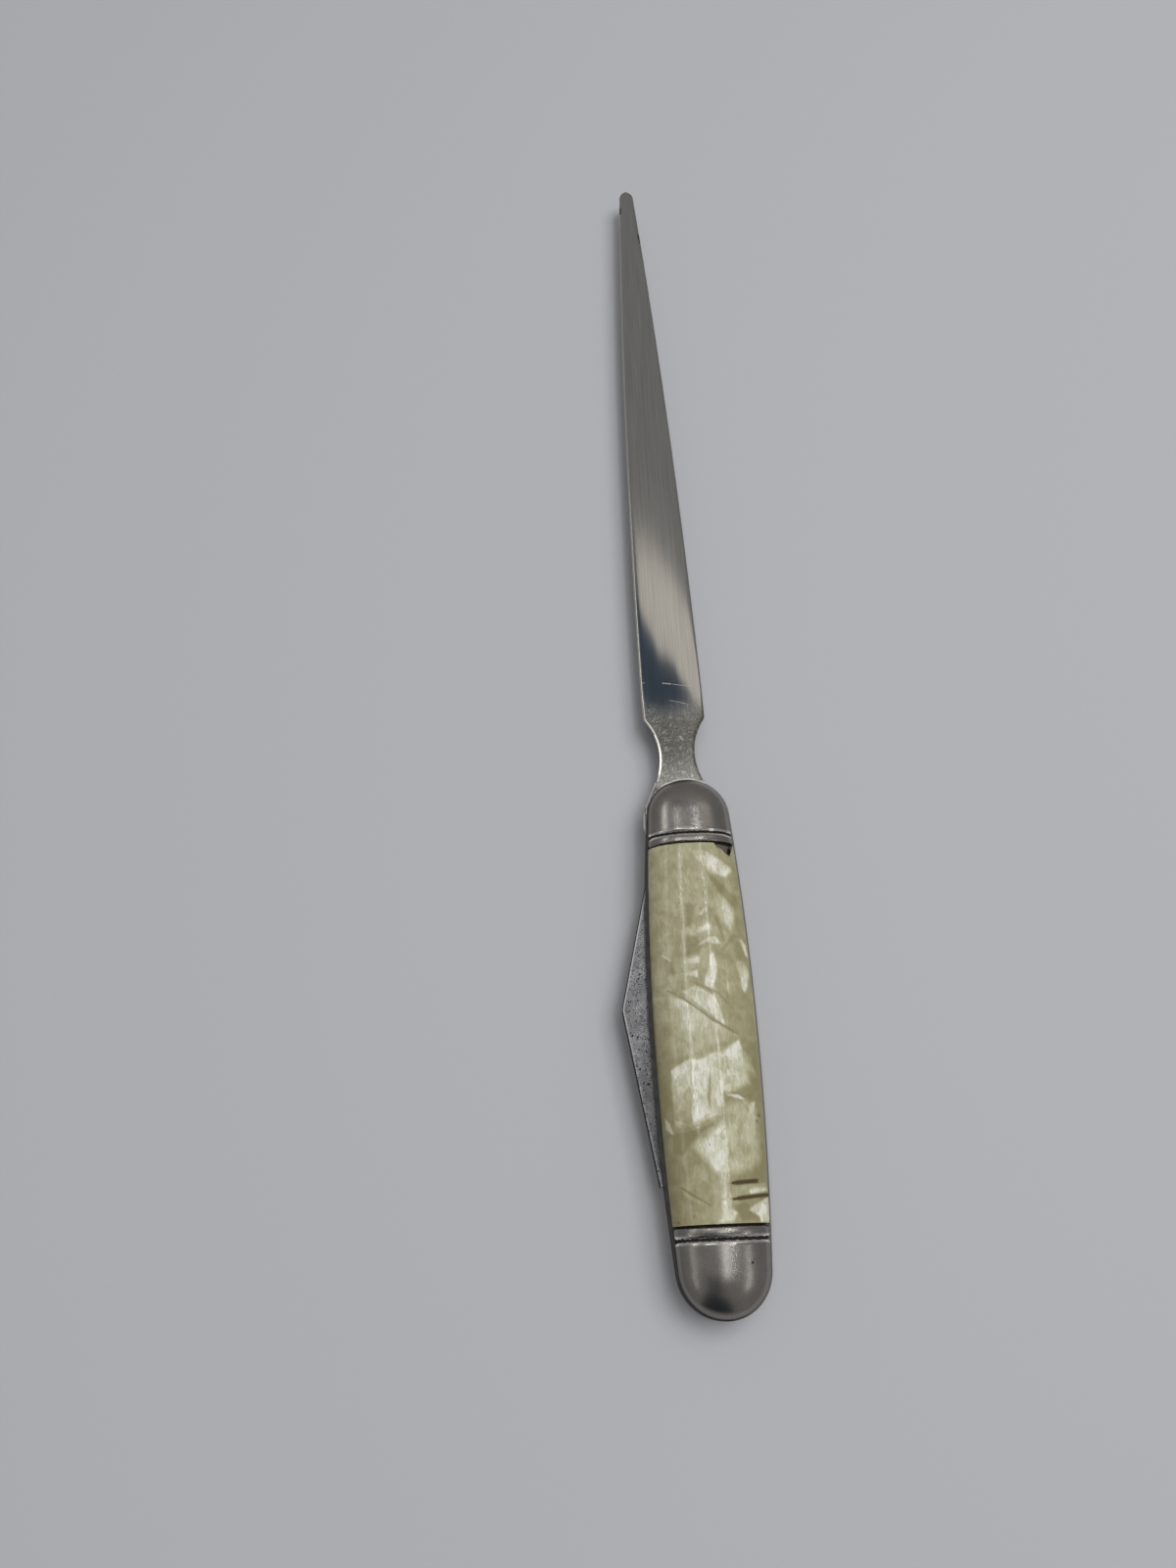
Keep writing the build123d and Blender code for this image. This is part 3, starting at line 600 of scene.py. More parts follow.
# Nickel plate worn thin over steel: a soft grey shine with fine scratches, painted shade low on the sides and a
# painted highlight on the turned line's lips.
dull_plate, tree, shader, place = start_material("Worn nickel plate on steel")
HAIR, HAIR_RUN = 0.1, 0.6
CLOUD, CRUMB, DENT = 2.0, 0.45, 2.5
SIDE_SHADE_START, SIDE_SHADE_FULL = 3.3, 1.5
DIRT_STRAY = 0.08
GROOVE_EDGE, GROOVE_WALL = 0.29, 0.22
LIP_EDGE, LIP_WALL = 0.75, 0.45
GAP_FROM, GAP_TO = 29.0, 29.15
RIM_FROM, RIM_TO = RIM_PLACE + 0.03, RIM_PLACE + 0.09
SPOT_HEIGHT = 8.65
_, along, up = node(tree, "SeparateXYZ", {0: place}).outputs
scratch_at = node(tree, "Mapping", {0: place, 2: (0, 0, radians(12)), 3: (1 / HAIR, 1 / HAIR_RUN, 1 / HAIR)})
scratches = node(tree, "TexNoise", {"Vector": scratch_at, "Scale": 1.0, "Detail": 3.0})
clouds, crumbs, dents = (
    node(tree, "TexNoise", {"Vector": place, "Scale": 1 / size, "Detail": detail})
    for size, detail in ((CLOUD, 4.0), (CRUMB, 3.0), (DENT, 1.0))
)
marred = node(tree, "MapRange", {0: scratches, 1: 0.5, 2: 0.7, 3: 0.0, 4: 0.22})
above = node(tree, "Math", {0: up, 1: CORE_MIDDLE}, operation="SUBTRACT")
above = node(tree, "Math", {0: above}, operation="ABSOLUTE")
from_middle = node(tree, "Math", {0: along}, operation="ABSOLUTE")
from_groove = node(tree, "Math", {0: from_middle, 1: GROOVE_PLACE}, operation="SUBTRACT")
from_groove = node(tree, "Math", {0: from_groove}, operation="ABSOLUTE")
uneven = node(tree, "MapRange", {0: crumbs, 1: 0.35, 2: 0.65, 3: -DIRT_STRAY, 4: DIRT_STRAY})
from_groove = node(tree, "Math", {0: from_groove, 1: uneven}, operation="ADD")
past_rim = node(tree, "Math", {0: from_middle, 1: uneven}, operation="ADD")
# Painted shade low on the domes' sides, dirt in the turned line, and a painted highlight on its rounded lips.
side_shade, in_groove, lip_highlight = (
    node(tree, "MapRange", {0: distance, 1: none, 2: full, 3: 0.0, 4: most}, interpolation_type="SMOOTHSTEP")
    for distance, none, full, most in (
        (above, SIDE_SHADE_START, SIDE_SHADE_FULL, 0.75),
        (from_groove, GROOVE_EDGE, GROOVE_WALL, 1.0),
        (from_groove, LIP_EDGE, LIP_WALL, 0.95),
    )
)
in_gap = node(tree, "MapRange", {0: past_rim, 1: RIM_TO, 2: RIM_FROM})
by_gap = node(tree, "MapRange", {0: past_rim, 1: GAP_FROM, 2: GAP_TO})
in_gap = node(tree, "Math", {0: in_gap, 1: by_gap}, operation="MULTIPLY")
held_dirt = node(tree, "Math", {0: in_groove, 1: in_gap}, operation="MAXIMUM")
# Rust spots on the front dome at the butt, each by its place and radius in mm.
for x, y, radius in ((3.84, -34.46, 0.2), (4.66, -34.81, 0.14), (2.78, -34.32, 0.12), (4.13, -34.04, 0.14)):
    away = node(tree, "VectorMath", {0: place, 1: (x, y, SPOT_HEIGHT)}, operation="DISTANCE")
    away = node(tree, "MapRange", {0: away, 1: 1.8 * radius, 2: 0.6 * radius})
    held_dirt = node(tree, "Math", {0: held_dirt, 1: away}, operation="MAXIMUM")
# The plate: clouds, scratches, the painted side shade and the painted lip highlight.
plate, dirt = linear("#A29E98"), linear("#0C0B0A")
for share, hue in ((clouds, "#BEB9B1"), (marred, "#7A7874"), (side_shade, "#403E3C"), (lip_highlight, "#FAF8F3")):
    plate = node(tree, "Mix", {0: share, 6: plate, 7: linear(hue)}, data_type="RGBA")
dirt = node(tree, "Mix", {0: crumbs, 6: dirt, 7: linear("#2E2620")}, data_type="RGBA")
colour = node(tree, "Mix", {0: held_dirt, 6: plate, 7: dirt}, data_type="RGBA")
rough = node(tree, "MapRange", {0: scratches, 1: 0.3, 2: 0.7, 3: 0.22, 4: 0.28})
for share, roughness in ((lip_highlight, 0.18), (held_dirt, 0.85)):
    rough = node(tree, "Mix", {0: share, 2: rough, 3: roughness})
metal = node(tree, "Math", {0: 1.0, 1: held_dirt}, operation="SUBTRACT")
bump = node(tree, "Bump", {"Height": dents, "Strength": 0.13, "Distance": 0.06 * MM})
feed(tree, shader, {"Base Color": colour, "Roughness": rough, "Normal": bump, "Metallic": metal})
finish_piece(front_shell, dull_plate, "handle", "front_shell")
finish_piece(rear_shell, dull_plate, "handle", "rear_shell")

# Scales: thin sheets of pearl celluloid, cemented over the shells' waists and trimmed to the handle's sides.
# Angular flakes of pearl lie in a cream body; the front sheet has two knife cuts and a chipped corner.
LAND = 3.2
SHEET_END = 29.2
SHEET_ROWS, SHEET_TURNS = 235, 85
CUT_DEPTH, CUT_STEP = 0.2, 0.07
BODY_WHITE = 0.36
DARK_RIGHT, DARK_LEFT, DARK_LEFT_FROM = 0.0045, 0.01, 2.0
YELLOW_RIGHT, YELLOW_LEFT, BUTT_SHADE = 0.05, 0.14, 0.1
YELLOW_FROM, YELLOW_RUN = 3.0, 4.0
MARK_SOFT = 1.6
CRACK_DIRT, SPECK_DIRT, CHIP_EDGE_DIRT = 0.5, 0.8, 0.9
# Cuts and cracks: their ends and their half-width. Specks: their place and radius. All in mm.
CUTS = (
    ((1.84, -23.72), (3.0, -23.62), 0.17),
    ((2.4, -23.68), (5.5, -23.47), 0.26),
    ((1.76, -25.92), (3.2, -25.76), 0.14),
    ((2.5, -25.84), (7.5, -25.32), 0.23),
)
CRACKS = (
    ((-5.5, 5.0), (-3.4, 3.7), 0.1),
    ((-3.4, 3.7), (0.85, 0.2), 0.13),
    ((0.85, 0.2), (4.7, -2.1), 0.13),
    ((-1.2, 5.9), (2.2, 4.2), 0.11),
    ((2.2, 4.2), (3.4, 2.7), 0.1),
    ((-5.6, -24.0), (-1.4, -26.8), 0.09),
    ((2.9, -10.9), (4.1, -11.1), 0.13),
    ((4.1, -11.1), (4.8, -11.6), 0.13),
)
SPECKS = (
    (6.79, -14.18, 0.22),
    (6.43, -15.02, 0.17),
    (-1.05, -18.29, 0.14),
    (-6.24, -28.78, 0.16),
    (-4.03, -28.06, 0.14),
    (3.0, -23.0, 0.1),
)
CHIP = ((3.3, 29.7), (4.0, 28.6), (4.9, 28.2), (5.6, 27.4), (6.1, 27.2), (6.5, 28.2), (6.95, 29.7))
CHIP_FROM, CHIP_HIGH = 5.0, 6.0
CHIP_DIRT = 0.13
# Each flake: how white it is, how soft its edge is in mm, which way it fades, and its corners in mm.
EVEN = (0, 0)
FRONT_FLAKES = (
    (0.3, 0.8, EVEN, ((-3, 28.2), (-0.5, 27.8), (1.6, 25.7), (2.3, 22.4), (1.4, 19.1), (0.3, 21.4), (-1.3, 25.1))),
    (0.62, 0.4, EVEN, ((-0.7, 28.1), (2.1, 28), (4.1, 26.5), (6.2, 25), (6.3, 24.3), (5, 23.2), (3.1, 23.8),
        (1.9, 24.5), (0.4, 26.2))),
    (0.98, 1, EVEN, ((1.7, 27.7), (4.1, 26.7), (6.3, 25.2), (6.4, 24.2), (5, 23), (3, 23.7), (2, 24.6))),
    (0.1, 0.35, EVEN, ((1.5, 24.5), (3, 23.6), (4.8, 21.8), (6.8, 19.6), (7.4, 18.3), (5.8, 18.2), (4, 20.1),
        (2.3, 22.7))),
    (0.76, 0.7, (-1, 0.5), ((2.4, 22), (3.6, 21.1), (5.8, 18.4), (6.2, 16.6), (5.7, 14.5), (4.9, 13.9), (3.9, 15.2),
        (2.9, 17.7))),
    (0.02, 0.6, EVEN, ((-2.2, 19.2), (0.1, 18.8), (-0.3, 17), (-0.8, 15.6), (-1.2, 14.6), (-2.3, 14.8))),
    (0.88, 0.2, EVEN, ((-0.1, 16.8), (0.7, 17.9), (1.7, 18.5), (1.6, 17.7), (0.4, 16.7))),
    (0.82, 0.4, EVEN, ((-0.8, 14), (-0.1, 15), (1.7, 15.9), (2.2, 15.1), (1.7, 14.3), (0, 13.8))),
    (0.04, 0.5, EVEN, ((-2.3, 14), (-0.3, 13.6), (0.5, 12), (-0.1, 10.3), (-3, 10))),
    (0.82, 0.25, EVEN, ((-1, 11.4), (-0.1, 12.4), (1.4, 13.3), (2.6, 13.5), (3.4, 12.1), (2.1, 12), (1, 12.4))),
    (0.12, 0.15, EVEN, ((2.4, 16.8), (3.1, 16.8), (4.1, 12.6), (3.6, 12.2))),
    (0.12, 0.2, EVEN, ((5.5, 14), (6.3, 13.6), (3.5, 10.8), (3, 11.3))),
    (0.92, 0.3, (-0.6, 0.6), ((5.1, 13), (6.8, 13.4), (7.5, 12.2), (7.7, 10.1), (7, 10.4), (6.4, 12.4))),
    (0.99, 0.45, (0.4, 0.6), ((5, 10.7), (5.7, 9.8), (7, 9.6), (7.8, 7.8), (7.2, 5.6), (6.4, 4), (5.9, 4.8),
        (5.6, 7.3))),
    (0.6, 0.12, EVEN, ((3.5, 7.2), (3.9, 7.1), (4, 4.1), (3.6, 4.4))),
    (0.12, 0.6, EVEN, ((-6, 10.3), (-4.2, 10.1), (-3.9, 7.8), (-5.7, 7))),
    (0.62, 0.1, EVEN, ((-6.4, 10.9), (-5.9, 10.9), (-4.5, 9.6), (-4.9, 9.6))),
    (0.76, 0.15, (-1, 0), ((-3.4, 9.7), (-1.8, 9.9), (-0.1, 10.2), (-0.3, 9), (-2.8, 9))),
    (0.86, 0.15, (-1, 0), ((-3.9, 7.7), (-2.3, 7.8), (-0.6, 8.1), (-0.8, 6.6), (-1.6, 7), (-2.9, 7.2))),
    (0.93, 0.25, EVEN, ((1.4, 11), (2.1, 10.7), (2.4, 8.1), (2, 6.3), (1.3, 4.7), (0, 5.5), (0.5, 7.3),
        (1.1, 9.1))),
    (0.72, 0.15, EVEN, ((-3.6, 4.7), (-2.5, 5.1), (-1.3, 5.7), (1.6, 3.8), (2.4, 1.6), (2.9, -0.7), (1.3, 0.4),
        (-0.4, 1.9), (-1.9, 3.3), (-3, 4.2))),
    (0.92, 0.2, (-0.4, 1), ((1.4, 4.2), (2, 2.7), (2.9, -1), (1.6, 0), (0.2, 1.3), (1.2, 2.3))),
    (0.88, 0.25, (0.3, -1), ((-8.3, 4.6), (-4.7, 4), (-3.2, 3.4), (-1.2, 1.9), (1, 0), (2.8, -1.2), (4.7, -2.2),
        (3.8, -2.6), (1.3, -3.7), (-1.1, -4.5), (-2.9, -5.2), (-8.6, -5.9), (-8.6, -0.8))),
    (0.3, 2.6, EVEN, ((-11, 7), (-3.6, 5.6), (-2.9, 0.8), (-4, -7), (-11, -7))),
    (0.92, 0.25, (0.1, -1), ((-6, -7.1), (-4.5, -6.2), (-2.8, -5.4), (-3.1, -11.4), (-3.5, -15.1), (-5.9, -14.4),
        (-6.1, -11.1))),
    (0.98, 0.3, EVEN, ((-2.9, -5.5), (-1.8, -5.7), (-0.5, -5.4), (0, -7.5), (-0.7, -11.5), (-0.4, -13.8),
        (-3.3, -15.4), (-3.5, -13.6))),
    (0.78, 0.3, EVEN, ((-0.7, -5.5), (0.7, -4.6), (2.2, -4.6), (1.9, -8.7), (1.6, -12.1), (1.2, -14.2),
        (-0.6, -14.4), (-0.7, -13.5), (-0.2, -8.6))),
    (0.76, 0.8, EVEN, ((1.7, -4.6), (3, -3.6), (4.9, -2.6), (5.5, -5.2), (6.2, -7.6), (6.1, -9.6), (4.4, -10.4),
        (2.6, -11.2), (0.4, -11), (0.3, -6.7))),
    (0.93, 0.2, (0.3, -1), ((2.1, -4.8), (4.8, -2.8), (5.2, -4.3), (5.1, -6.7), (4.2, -8.7), (2.6, -9.7),
        (1.7, -8.7))),
    (0.6, 0.4, (0.5, -0.6), ((5.1, -4), (6.5, -5.7), (7.3, -8.6), (5, -10), (4.1, -8.7), (5, -6.7))),
    (0.6, 1.1, EVEN, ((1.2, -12.2), (4.5, -11.1), (6.5, -12), (7, -15.3), (6.8, -20.4), (5.2, -22.6), (0.4, -22.9),
        (0.4, -17.3))),
    (0.95, 0.2, EVEN, ((1.7, -11.4), (2.8, -10.9), (4, -11.1), (5, -11.8), (4.2, -12), (2.7, -11.5))),
    (0.95, 0.3, (0, -1), ((5.6, -12.4), (6.6, -11.9), (6.2, -13.9), (4.9, -15.9), (4.3, -15.7))),
    (0.85, 0.2, (0, -1), ((-5.9, -14.3), (-3.4, -15.1), (0, -13.6), (-0.3, -14.4), (-3.1, -15.7), (-6, -15.6))),
    (0.14, 0.3, EVEN, ((-6.3, -16.5), (-3, -15.9), (0.2, -14.7), (-0.1, -15.6), (-2.2, -16.8), (-3.6, -18.1),
        (-4.9, -19.7), (-6.5, -19.2))),
    (0.92, 0.2, EVEN, ((-7.4, -13.7), (-6.5, -14.8), (-6, -16.6), (-6.5, -16.5), (-7.2, -15.6))),
    (0.88, 0.9, EVEN, ((0, -15.4), (1.3, -14.4), (2.1, -15.3), (1.9, -19.5), (1.4, -22.2), (1.2, -25.6), (0.4, -25),
        (-0.3, -22.7), (-2.1, -20.7), (-3.7, -18.8), (-3, -17.3), (-1.8, -17.1))),
    (0.5, 1.1, EVEN, ((-3.7, -20.9), (-2.5, -20.8), (-1.6, -21.6), (-1.5, -23.3), (-2.3, -24.2), (-3.7, -23.9),
        (-4.2, -22.6))),
    (0.86, 0.4, EVEN, ((-0.9, -20.3), (0.7, -20.4), (1.5, -21.1), (1.3, -23), (1.1, -26), (-0.1, -25.8),
        (0.4, -24.1), (0.1, -22.6))),
    (0.62, 0.4, (0.5, 1), ((-5.7, -24), (-4.4, -24.9), (-3.3, -25.7), (-1.6, -26.6), (-3.4, -26.4), (-5, -25.5))),
    (0.44, 0.3, EVEN, ((1.7, -24.1), (7.1, -23.5), (7.2, -25.2), (2.2, -25.7))),
    (0.92, 0.25, EVEN, ((3.9, -25), (4.8, -24.3), (7.3, -24.3), (7.2, -24.9), (4.5, -25.4))),
    (0.12, 0.4, EVEN, ((1.5, -26.6), (3.9, -26.2), (5, -28.8), (2.7, -29.2))),
    (0.99, 0.5, EVEN, ((-0.1, -26), (1.2, -25.5), (1.4, -27), (2.5, -27.7), (1.6, -29.2), (-0.8, -29.2),
        (-0.2, -27.8))),
    (0.94, 0.25, EVEN, ((3.7, -27.4), (5, -26.5), (7.5, -25.3), (7.2, -29.2), (5.4, -29.2), (5.3, -28.4))),
)
# The rear sheet's flakes don't show in the photo, so they are drawn at random from a fixed seed.
draw = random.Random(11)
REAR_FLAKES = []
for _ in range(30):
    centre = (draw.uniform(-5.5, 7.0), draw.uniform(-28.0, 28.0))
    corners = []
    for turn in sorted(draw.uniform(0, 2 * pi) for _ in range(6)):
        wide, long = draw.uniform(1.2, 3.0), draw.uniform(1.8, 4.5)
        corners.append((centre[0] + wide * cos(turn), centre[1] + long * sin(turn)))
    fade = draw.choice((EVEN, (0.6, 1), (-0.3, -1), (0.4, 1)))
    REAR_FLAKES.append((draw.uniform(0.4, 0.9), draw.uniform(0.25, 1.0), fade, tuple(corners)))


def line_distance(points, start, end):
    """Distance in mm of each point from a line between two points."""
    a, b = np.array(start), np.array(end)
    share = np.clip(((points - a) @ (b - a)) / ((b - a) @ (b - a)), 0, 1)
    return np.linalg.norm(points - a - share[:, None] * (b - a), axis=1)


def whiteness(points, flakes):
    """How white the pearl is at each point, painted shade included: the flakes are laid one over the other on a
    cream body.
    """
    x, y = points.T
    # The body is painted darker towards both sides as shade, where the sheet curves down.
    white = BODY_WHITE - DARK_RIGHT * np.clip(x, 0, None) ** 2 - DARK_LEFT * np.clip(-DARK_LEFT_FROM - x, 0, None)
    for value, soft, fade, corners in flakes:
        inside = np.zeros(len(points), bool)
        near = np.full(len(points), 99.0)
        for start, end in zip(corners, corners[1:] + corners[:1]):
            near = np.minimum(near, line_distance(points, start, end))
            rises = (start[1] > y) != (end[1] > y)
            slope = (end[0] - start[0]) / (end[1] - start[1] or 1e-9)
            inside ^= rises & (x < start[0] + slope * (y - start[1]))
        cover = np.where(inside, np.clip(near / soft, 0, 1), 0)
        if any(fade):
            direction = np.array(fade) / np.linalg.norm(fade)
            spread = np.array(corners) @ direction
            cover *= np.clip(1.15 - (points @ direction - spread.min()) / np.ptp(spread), 0.1, 1)
        white = white * (1 - cover) + value * cover
    # The sides are more yellowed; towards the butt end the sides and the whole sheet are painted darker, as shade.
    by_side = YELLOW_LEFT * np.clip((-YELLOW_FROM - x) / YELLOW_RUN, 0, 1)
    by_side += YELLOW_RIGHT * np.clip((x - YELLOW_FROM) / YELLOW_RUN, 0, 1)
    return white - by_side * np.clip(0.4 - y / 10, 0, 1) - BUTT_SHADE * np.clip(0.1 - y / 10, 0, 1)


def cut_depth(points, marks):
    """How far each point lies inside the marks: 0 outside, 1 in the middle."""
    depth = np.zeros(len(points))
    for start, end, width in marks:
        depth = np.maximum(depth, np.clip(MARK_SOFT - line_distance(points, start, end) / width, 0, 1))
    return depth


def pearl_sheet(name, cuts):
    """A closed sheet over the front shell's waist, with the cuts pressed into it."""
    rows = set(np.round(np.linspace(-SHEET_END, SHEET_END, SHEET_ROWS), 4))
    for (_, y0), (_, y1), _ in cuts:
        rows |= set(np.round(np.arange(min(y0, y1) - 0.5, max(y0, y1) + 0.5, CUT_STEP), 4))
    rows = np.array(sorted(rows))
    fine = np.linspace(0, pi, 2000)
    length = np.cumsum(np.hypot(side_x(0) * np.gradient(np.cos(fine)), CROWN * np.gradient(np.sin(fine))))
    turns = np.interp(np.linspace(length[0], length[-1], SHEET_TURNS), length, fine)
    wide = np.repeat([side_x(y) for y in rows], len(turns))
    y = np.repeat(rows, len(turns))
    t = np.tile(turns, len(rows))
    outer = np.stack([wide * np.cos(t), y, SEAT + np.minimum(CROWN * np.sin(t), LAND)], 1)
    inner = np.stack([(wide - SHEET) * np.cos(t), y, SEAT + (CROWN - SHEET) * np.sin(t)], 1)
    outer[:, 2] -= CUT_DEPTH * cut_depth(outer[:, :2], cuts)
    return add_sheet(name, outer, inner, len(turns))


def paint_sheet(sheet, flakes, cuts, cracks, specks, chip):
    """Keeps the pearl and the dirt of a front sheet as attributes of its points."""
    points = np.empty(3 * len(sheet.data.vertices))
    sheet.data.vertices.foreach_get("co", points)
    points = points.reshape(-1, 3)[:, :2] / MM
    dirt = np.maximum(cut_depth(points, cuts), CRACK_DIRT * cut_depth(points, cracks))
    for x, y, radius in specks:
        away = np.linalg.norm(points - np.array((x, y)), axis=1)
        dirt = np.maximum(dirt, SPECK_DIRT * np.clip(MARK_SOFT - away / radius, 0, 1))
    for start, end in zip(chip, chip[1:]):
        away = line_distance(points, start, end)
        dirt = np.maximum(dirt, CHIP_EDGE_DIRT * np.clip(1.5 - away / CHIP_DIRT, 0, 1))
    for label, values in (("pearl", whiteness(points, flakes)), ("dirt", dirt)):
        attribute = sheet.data.attributes.new(label, "FLOAT", "POINT")
        attribute.data.foreach_set("value", values.astype(np.float32))


front_sheet = pearl_sheet("front_pearl_sheet", CUTS)
chip = add_piece("chip")
form = bmesh.new()
base = form.faces.new([form.verts.new((x * MM, y * MM, CHIP_FROM * MM)) for x, y in CHIP])
raised = bmesh.ops.extrude_face_region(form, geom=[base])["geom"]
raised = [corner for corner in raised if isinstance(corner, bmesh.types.BMVert)]
bmesh.ops.translate(form, verts=raised, vec=(0, 0, CHIP_HIGH * MM))
close_form(form, chip)
combine(front_sheet, chip, "DIFFERENCE")
paint_sheet(front_sheet, FRONT_FLAKES, CUTS, CRACKS, SPECKS, CHIP[:5])
rear_sheet = pearl_sheet("rear_pearl_sheet", ())
paint_sheet(rear_sheet, REAR_FLAKES, (), (), (), ())
turned_over(rear_sheet)

# Celluloid with pearl essence: a yellowed cream body, white silky flakes in it and a clear, glossy top.
pearl_celluloid, tree, shader, place = start_material("Pearl celluloid")
SILK, SILK_RUN = 0.32, 1.6
SPLINTER, SPLINTER_RUN = 0.9, 1.7
CLOUDY, WAVE, PEEL = 2.2, 1.5, 0.3
white = node(tree, "Attribute", attribute_name="pearl").outputs["Fac"]
dirt = node(tree, "Attribute", attribute_name="dirt").outputs["Fac"]
silk_at = node(tree, "Mapping", {0: place, 2: (0, 0, radians(20)), 3: (1 / SILK, 1 / SILK_RUN, 1 / SILK_RUN)})
silk = node(tree, "TexNoise", {"Vector": silk_at, "Scale": 1.0, "Detail": 4.0, "Distortion": 1.2})
cloudy = node(tree, "TexNoise", {"Vector": place, "Scale": 1 / CLOUDY, "Detail": 4.0, "Distortion": 0.6})
splinters_at = node(tree, "Mapping", {0: place, 2: (0, 0, radians(-24)), 3: (1 / SPLINTER, 1 / SPLINTER_RUN, 0)})
splinters = node(tree, "TexVoronoi", {"Vector": splinters_at, "Scale": 1.0}).outputs["Color"]
splinters = node(tree, "SeparateColor", {0: splinters})
splinters = node(tree, "MapRange", {0: splinters, 3: -0.2, 4: 0.2})
silky = node(tree, "MapRange", {0: silk, 1: 0.3, 2: 0.7, 3: -0.28, 4: 0.28})
cloud = node(tree, "MapRange", {0: cloudy, 1: 0.3, 2: 0.7, 3: -0.12, 4: 0.12})
level = white
for texture, by in ((silky, white), (splinters, white), (cloud, 1.0)):
    level = node(tree, "Math", {0: texture, 1: by, 2: level}, operation="MULTIPLY_ADD")
ramp = node(tree, "ValToRGB", {0: level})
stops = ramp.color_ramp.elements
for position in (0.3, 0.55, 0.8):
    stops.new(position)
for stop, hue in zip(stops, ("#8D8663", "#A9A483", "#C1BEA1", "#D7D6C2", "#EAE8DC")):
    stop.color = linear(hue)
colour = node(tree, "Mix", {0: dirt, 6: ramp, 7: linear("#54462C")}, data_type="RGBA")
wear_and_sheen = node(tree, "MapRange", {0: silk, 1: 0.3, 2: 0.7, 3: 0.05, 4: 0.11})
rough = node(tree, "Mix", {0: dirt, 2: wear_and_sheen, 3: 0.9})
wave, peel = (
    node(tree, "TexNoise", {"Vector": place, "Scale": 1 / size, "Detail": detail})
    for size, detail in ((WAVE, 2.0), (PEEL, 1.0))
)
bump = node(tree, "Bump", {"Height": wave, "Strength": 0.3, "Distance": 0.04 * MM})
for relief, strength, depth in ((peel, 0.6, 0.015), (silk, 0.1, 0.03)):
    bump = node(tree, "Bump", {"Height": relief, "Strength": strength, "Distance": depth * MM, "Normal": bump})
feed(tree, shader, {"Base Color": colour, "Roughness": rough, "Normal": bump})
finish_piece(front_sheet, pearl_celluloid, "handle", "front_scale")
finish_piece(rear_sheet, pearl_celluloid, "handle", "rear_scale")

# Table, camera and lamps: the object lies on a plain pale table, under two ceiling tubes and a soft light
# from the right. Pale panels and dark cards stand where the polished steel mirrors them.
TABLE_HALF = 3.0


def board(name, corners, paint, hue, roughness):
    """A flat painted board, given by its corners in metres."""
    material, tree, shader, _ = start_material(paint)
    feed(tree, shader, {"Base Color": linear(hue), "Roughness": roughness})
    made = add_piece(name)
    made.data.from_pydata(corners, [], [tuple(range(len(corners)))])
    made.data.materials.append(material)
    return made


table_corners = [(x * TABLE_HALF, y * TABLE_HALF, 0) for x, y in ((-1, -1), (1, -1), (1, 1), (-1, 1))]
board("table", table_corners, "Pale painted table", "#BEBFC3", 0.6)

camera = add_piece("camera", bpy.data.cameras.new("camera"))
camera.data.lens = 27.0
camera.data.sensor_width = 36.0
camera.data.clip_start = 0.01
EYE = (-0.01975, -0.03935, 0.1885)
RIGHT = Vector((0.9992, -0.04003, 0))
UP = Vector((0.03657, 0.91281, 0.40674))
FORWARD = Vector((0.01628, 0.40641, -0.91355))
camera.matrix_world = Matrix.Translation(EYE) @ Matrix((RIGHT, UP, -FORWARD)).transposed().to_4x4()
bpy.context.scene.camera = camera


def lamp(name, at, towards, size, power, colour="#FFFFFF"):
    """A rectangular soft lamp, turned towards a point."""
    light = bpy.data.lights.new(name, "AREA")
    light.shape = "RECTANGLE"
    light.size, light.size_y = size
    light.energy = power
    light.color = linear(colour)[:3]
    made = add_piece(name, light)
    made.rotation_mode = "QUATERNION"
    made.rotation_quaternion = (Vector(towards) - Vector(at)).to_track_quat("-Z", "Y")
    made.location = at
    return made


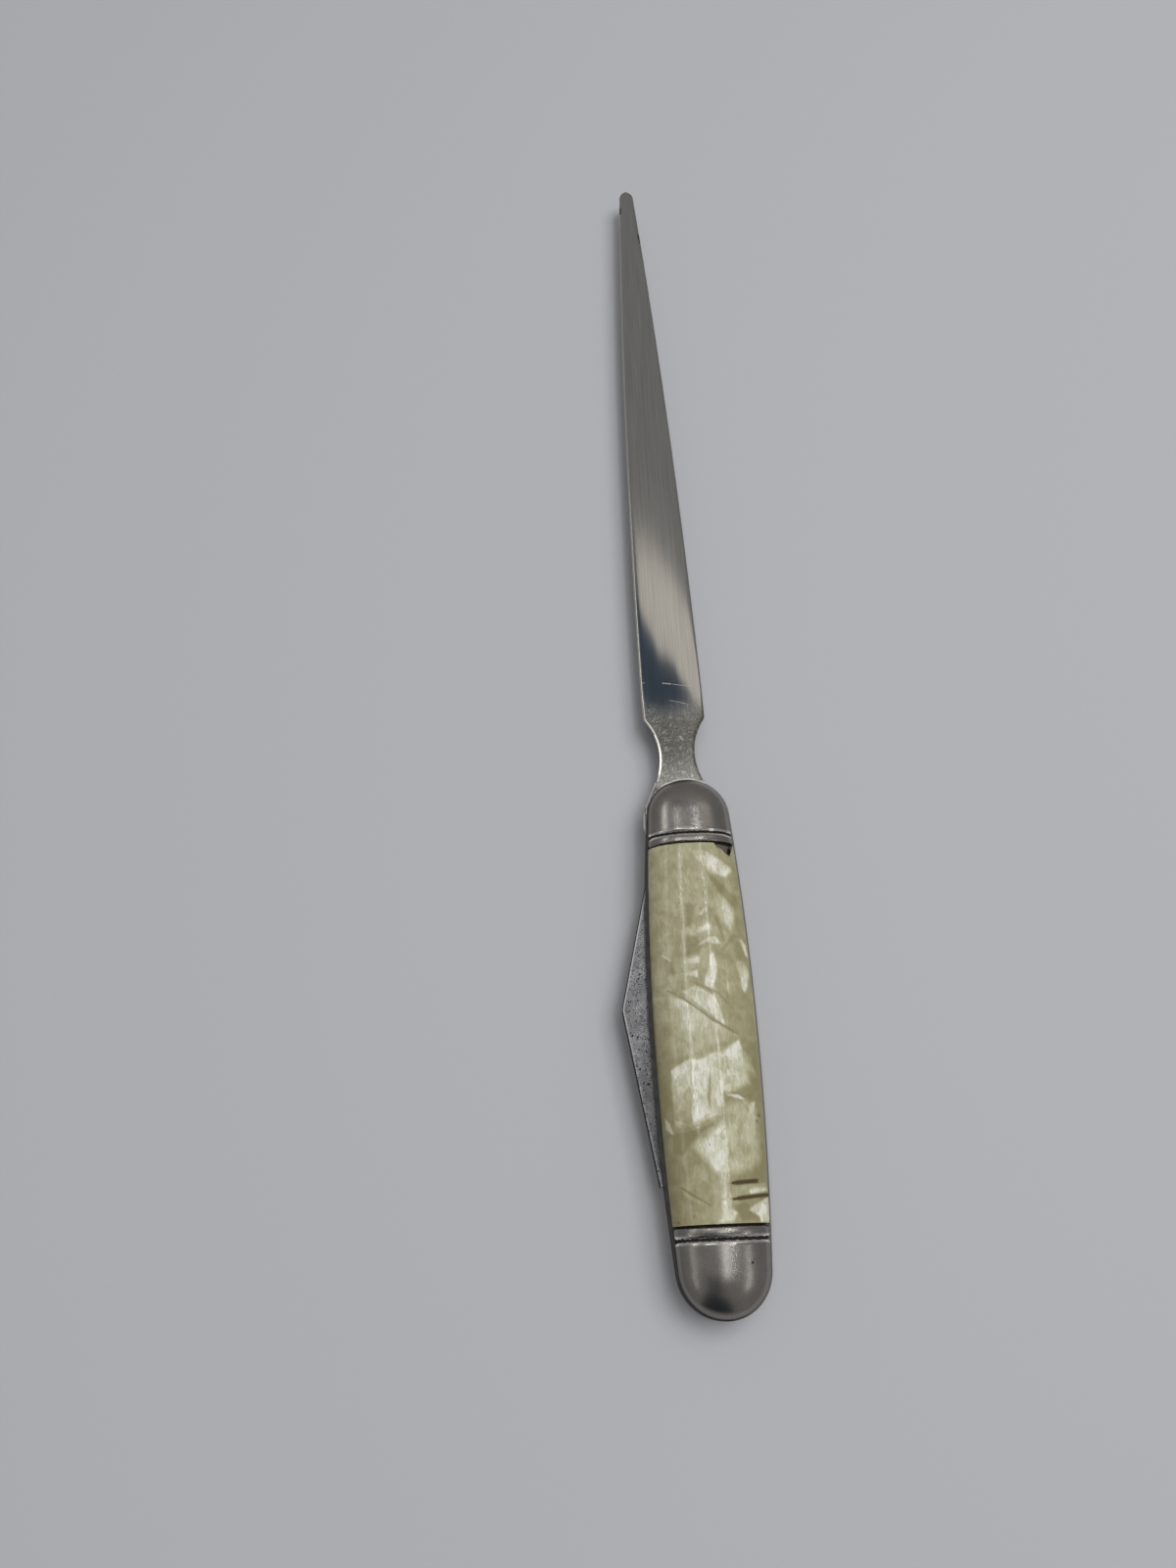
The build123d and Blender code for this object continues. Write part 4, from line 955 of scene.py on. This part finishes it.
# The lamps overhead are in two halves, because the camera hides the near half from the steel at the butt.
HALF_WAY = -0.02
for name, x, high, width, near, far, power in (
    ("left_tube", -0.37, 1.9, 0.035, -1.2, 1.0, 2.6),
    ("right_tube", 0.5, 1.9, 0.035, -1.2, 1.0, 3.4),
    ("tube_housing", 0.065, 1.93, 0.87, -0.9, 0.85, 2.05),
):
    for half, start, end in (("far", HALF_WAY, far), ("near", near, HALF_WAY)):
        at = (x, (start + end) / 2, high)
        size = (width, end - start)
        overhead = lamp(f"{name}_{half}", at, (*at[:2], 0.0), size, power * size[1] / (far - near))
        overhead.visible_glossy = half == "far"
for name, at, size, power in (
    ("left_window", (-1.25, 1.2, 1.9), (0.3, 0.5), 1.0),
    ("left_window_far", (-1.25, 1.65, 1.9), (0.25, 0.4), 0.4),
    ("left_strip", (-1.26, 0.49, 1.9), (0.3, 0.92), 0.9),
    ("left_near", (-1.6, -0.53, 1.9), (0.2, 1.14), 0.7),
    ("right_near", (1.33, -0.55, 1.9), (0.25, 1.1), 1.2),
    ("far_ceiling", (0.1, 1.9, 1.9), (2.2, 1.6), 0.45),
    ("near_strip", (0.2, -0.1, 1.83), (0.16, 0.4), 0.42),
):
    window = lamp(name, at, (at[0], at[1], 0.0), size, power)
    window.visible_diffuse = False
soft = lamp("soft_right", (0.4, 0.15, 1.05), (0, 0.05, 0), (0.75, 0.75), 6.7)
soft.visible_glossy = False
lamp("pale_panel", (0.425, 0.905, 1.4), (0.357, 0.08, 0), (1.35, 0.24), 0.56, "#FFF6E8")

BLADE_CARD = (
    (-0.095, 0.282, 0.3), (-0.076, 0.274, 0.3), (-0.048, 0.261, 0.3), (-0.019, 0.248, 0.3), (-0.006, 0.24, 0.3),
    (0.044, 0.237, 0.3), (0.063, 0.231, 0.3), (0.094, 0.227, 0.3), (0.112, 0.221, 0.3), (0.135, 0.216, 0.3),
    (0.135, 0.19, 0.3), (-0.095, 0.19, 0.3),
)
BUTT_CARD = ((-0.35, -0.5, 0.12), (0.12, -0.5, 0.12), (0.08, -0.5, 0.62), (-0.35, -0.5, 0.95))
CAMERA_CARD = ((-0.065, -0.15, 0.192), (0.003, -0.15, 0.192), (0.003, 0.007, 0.192), (-0.065, 0.007, 0.192))
for name, corners, hue in (
    ("blade_card", BLADE_CARD, "#677B91"),
    ("butt_card", BUTT_CARD, "#2A323D"),
    ("camera_card", CAMERA_CARD, "#707072"),
):
    card = board(name, corners, "Matt " + name.replace("_", " "), hue, 0.9)
    card.visible_camera = card.visible_diffuse = card.visible_shadow = False

world = bpy.data.worlds.new("room")
bpy.context.scene.world = world
world.use_nodes = True
feed(world.node_tree, world.node_tree.nodes["Background"], {"Color": linear("#FFFFFF"), "Strength": 0.21})
bpy.context.scene.view_settings.view_transform = "Standard"
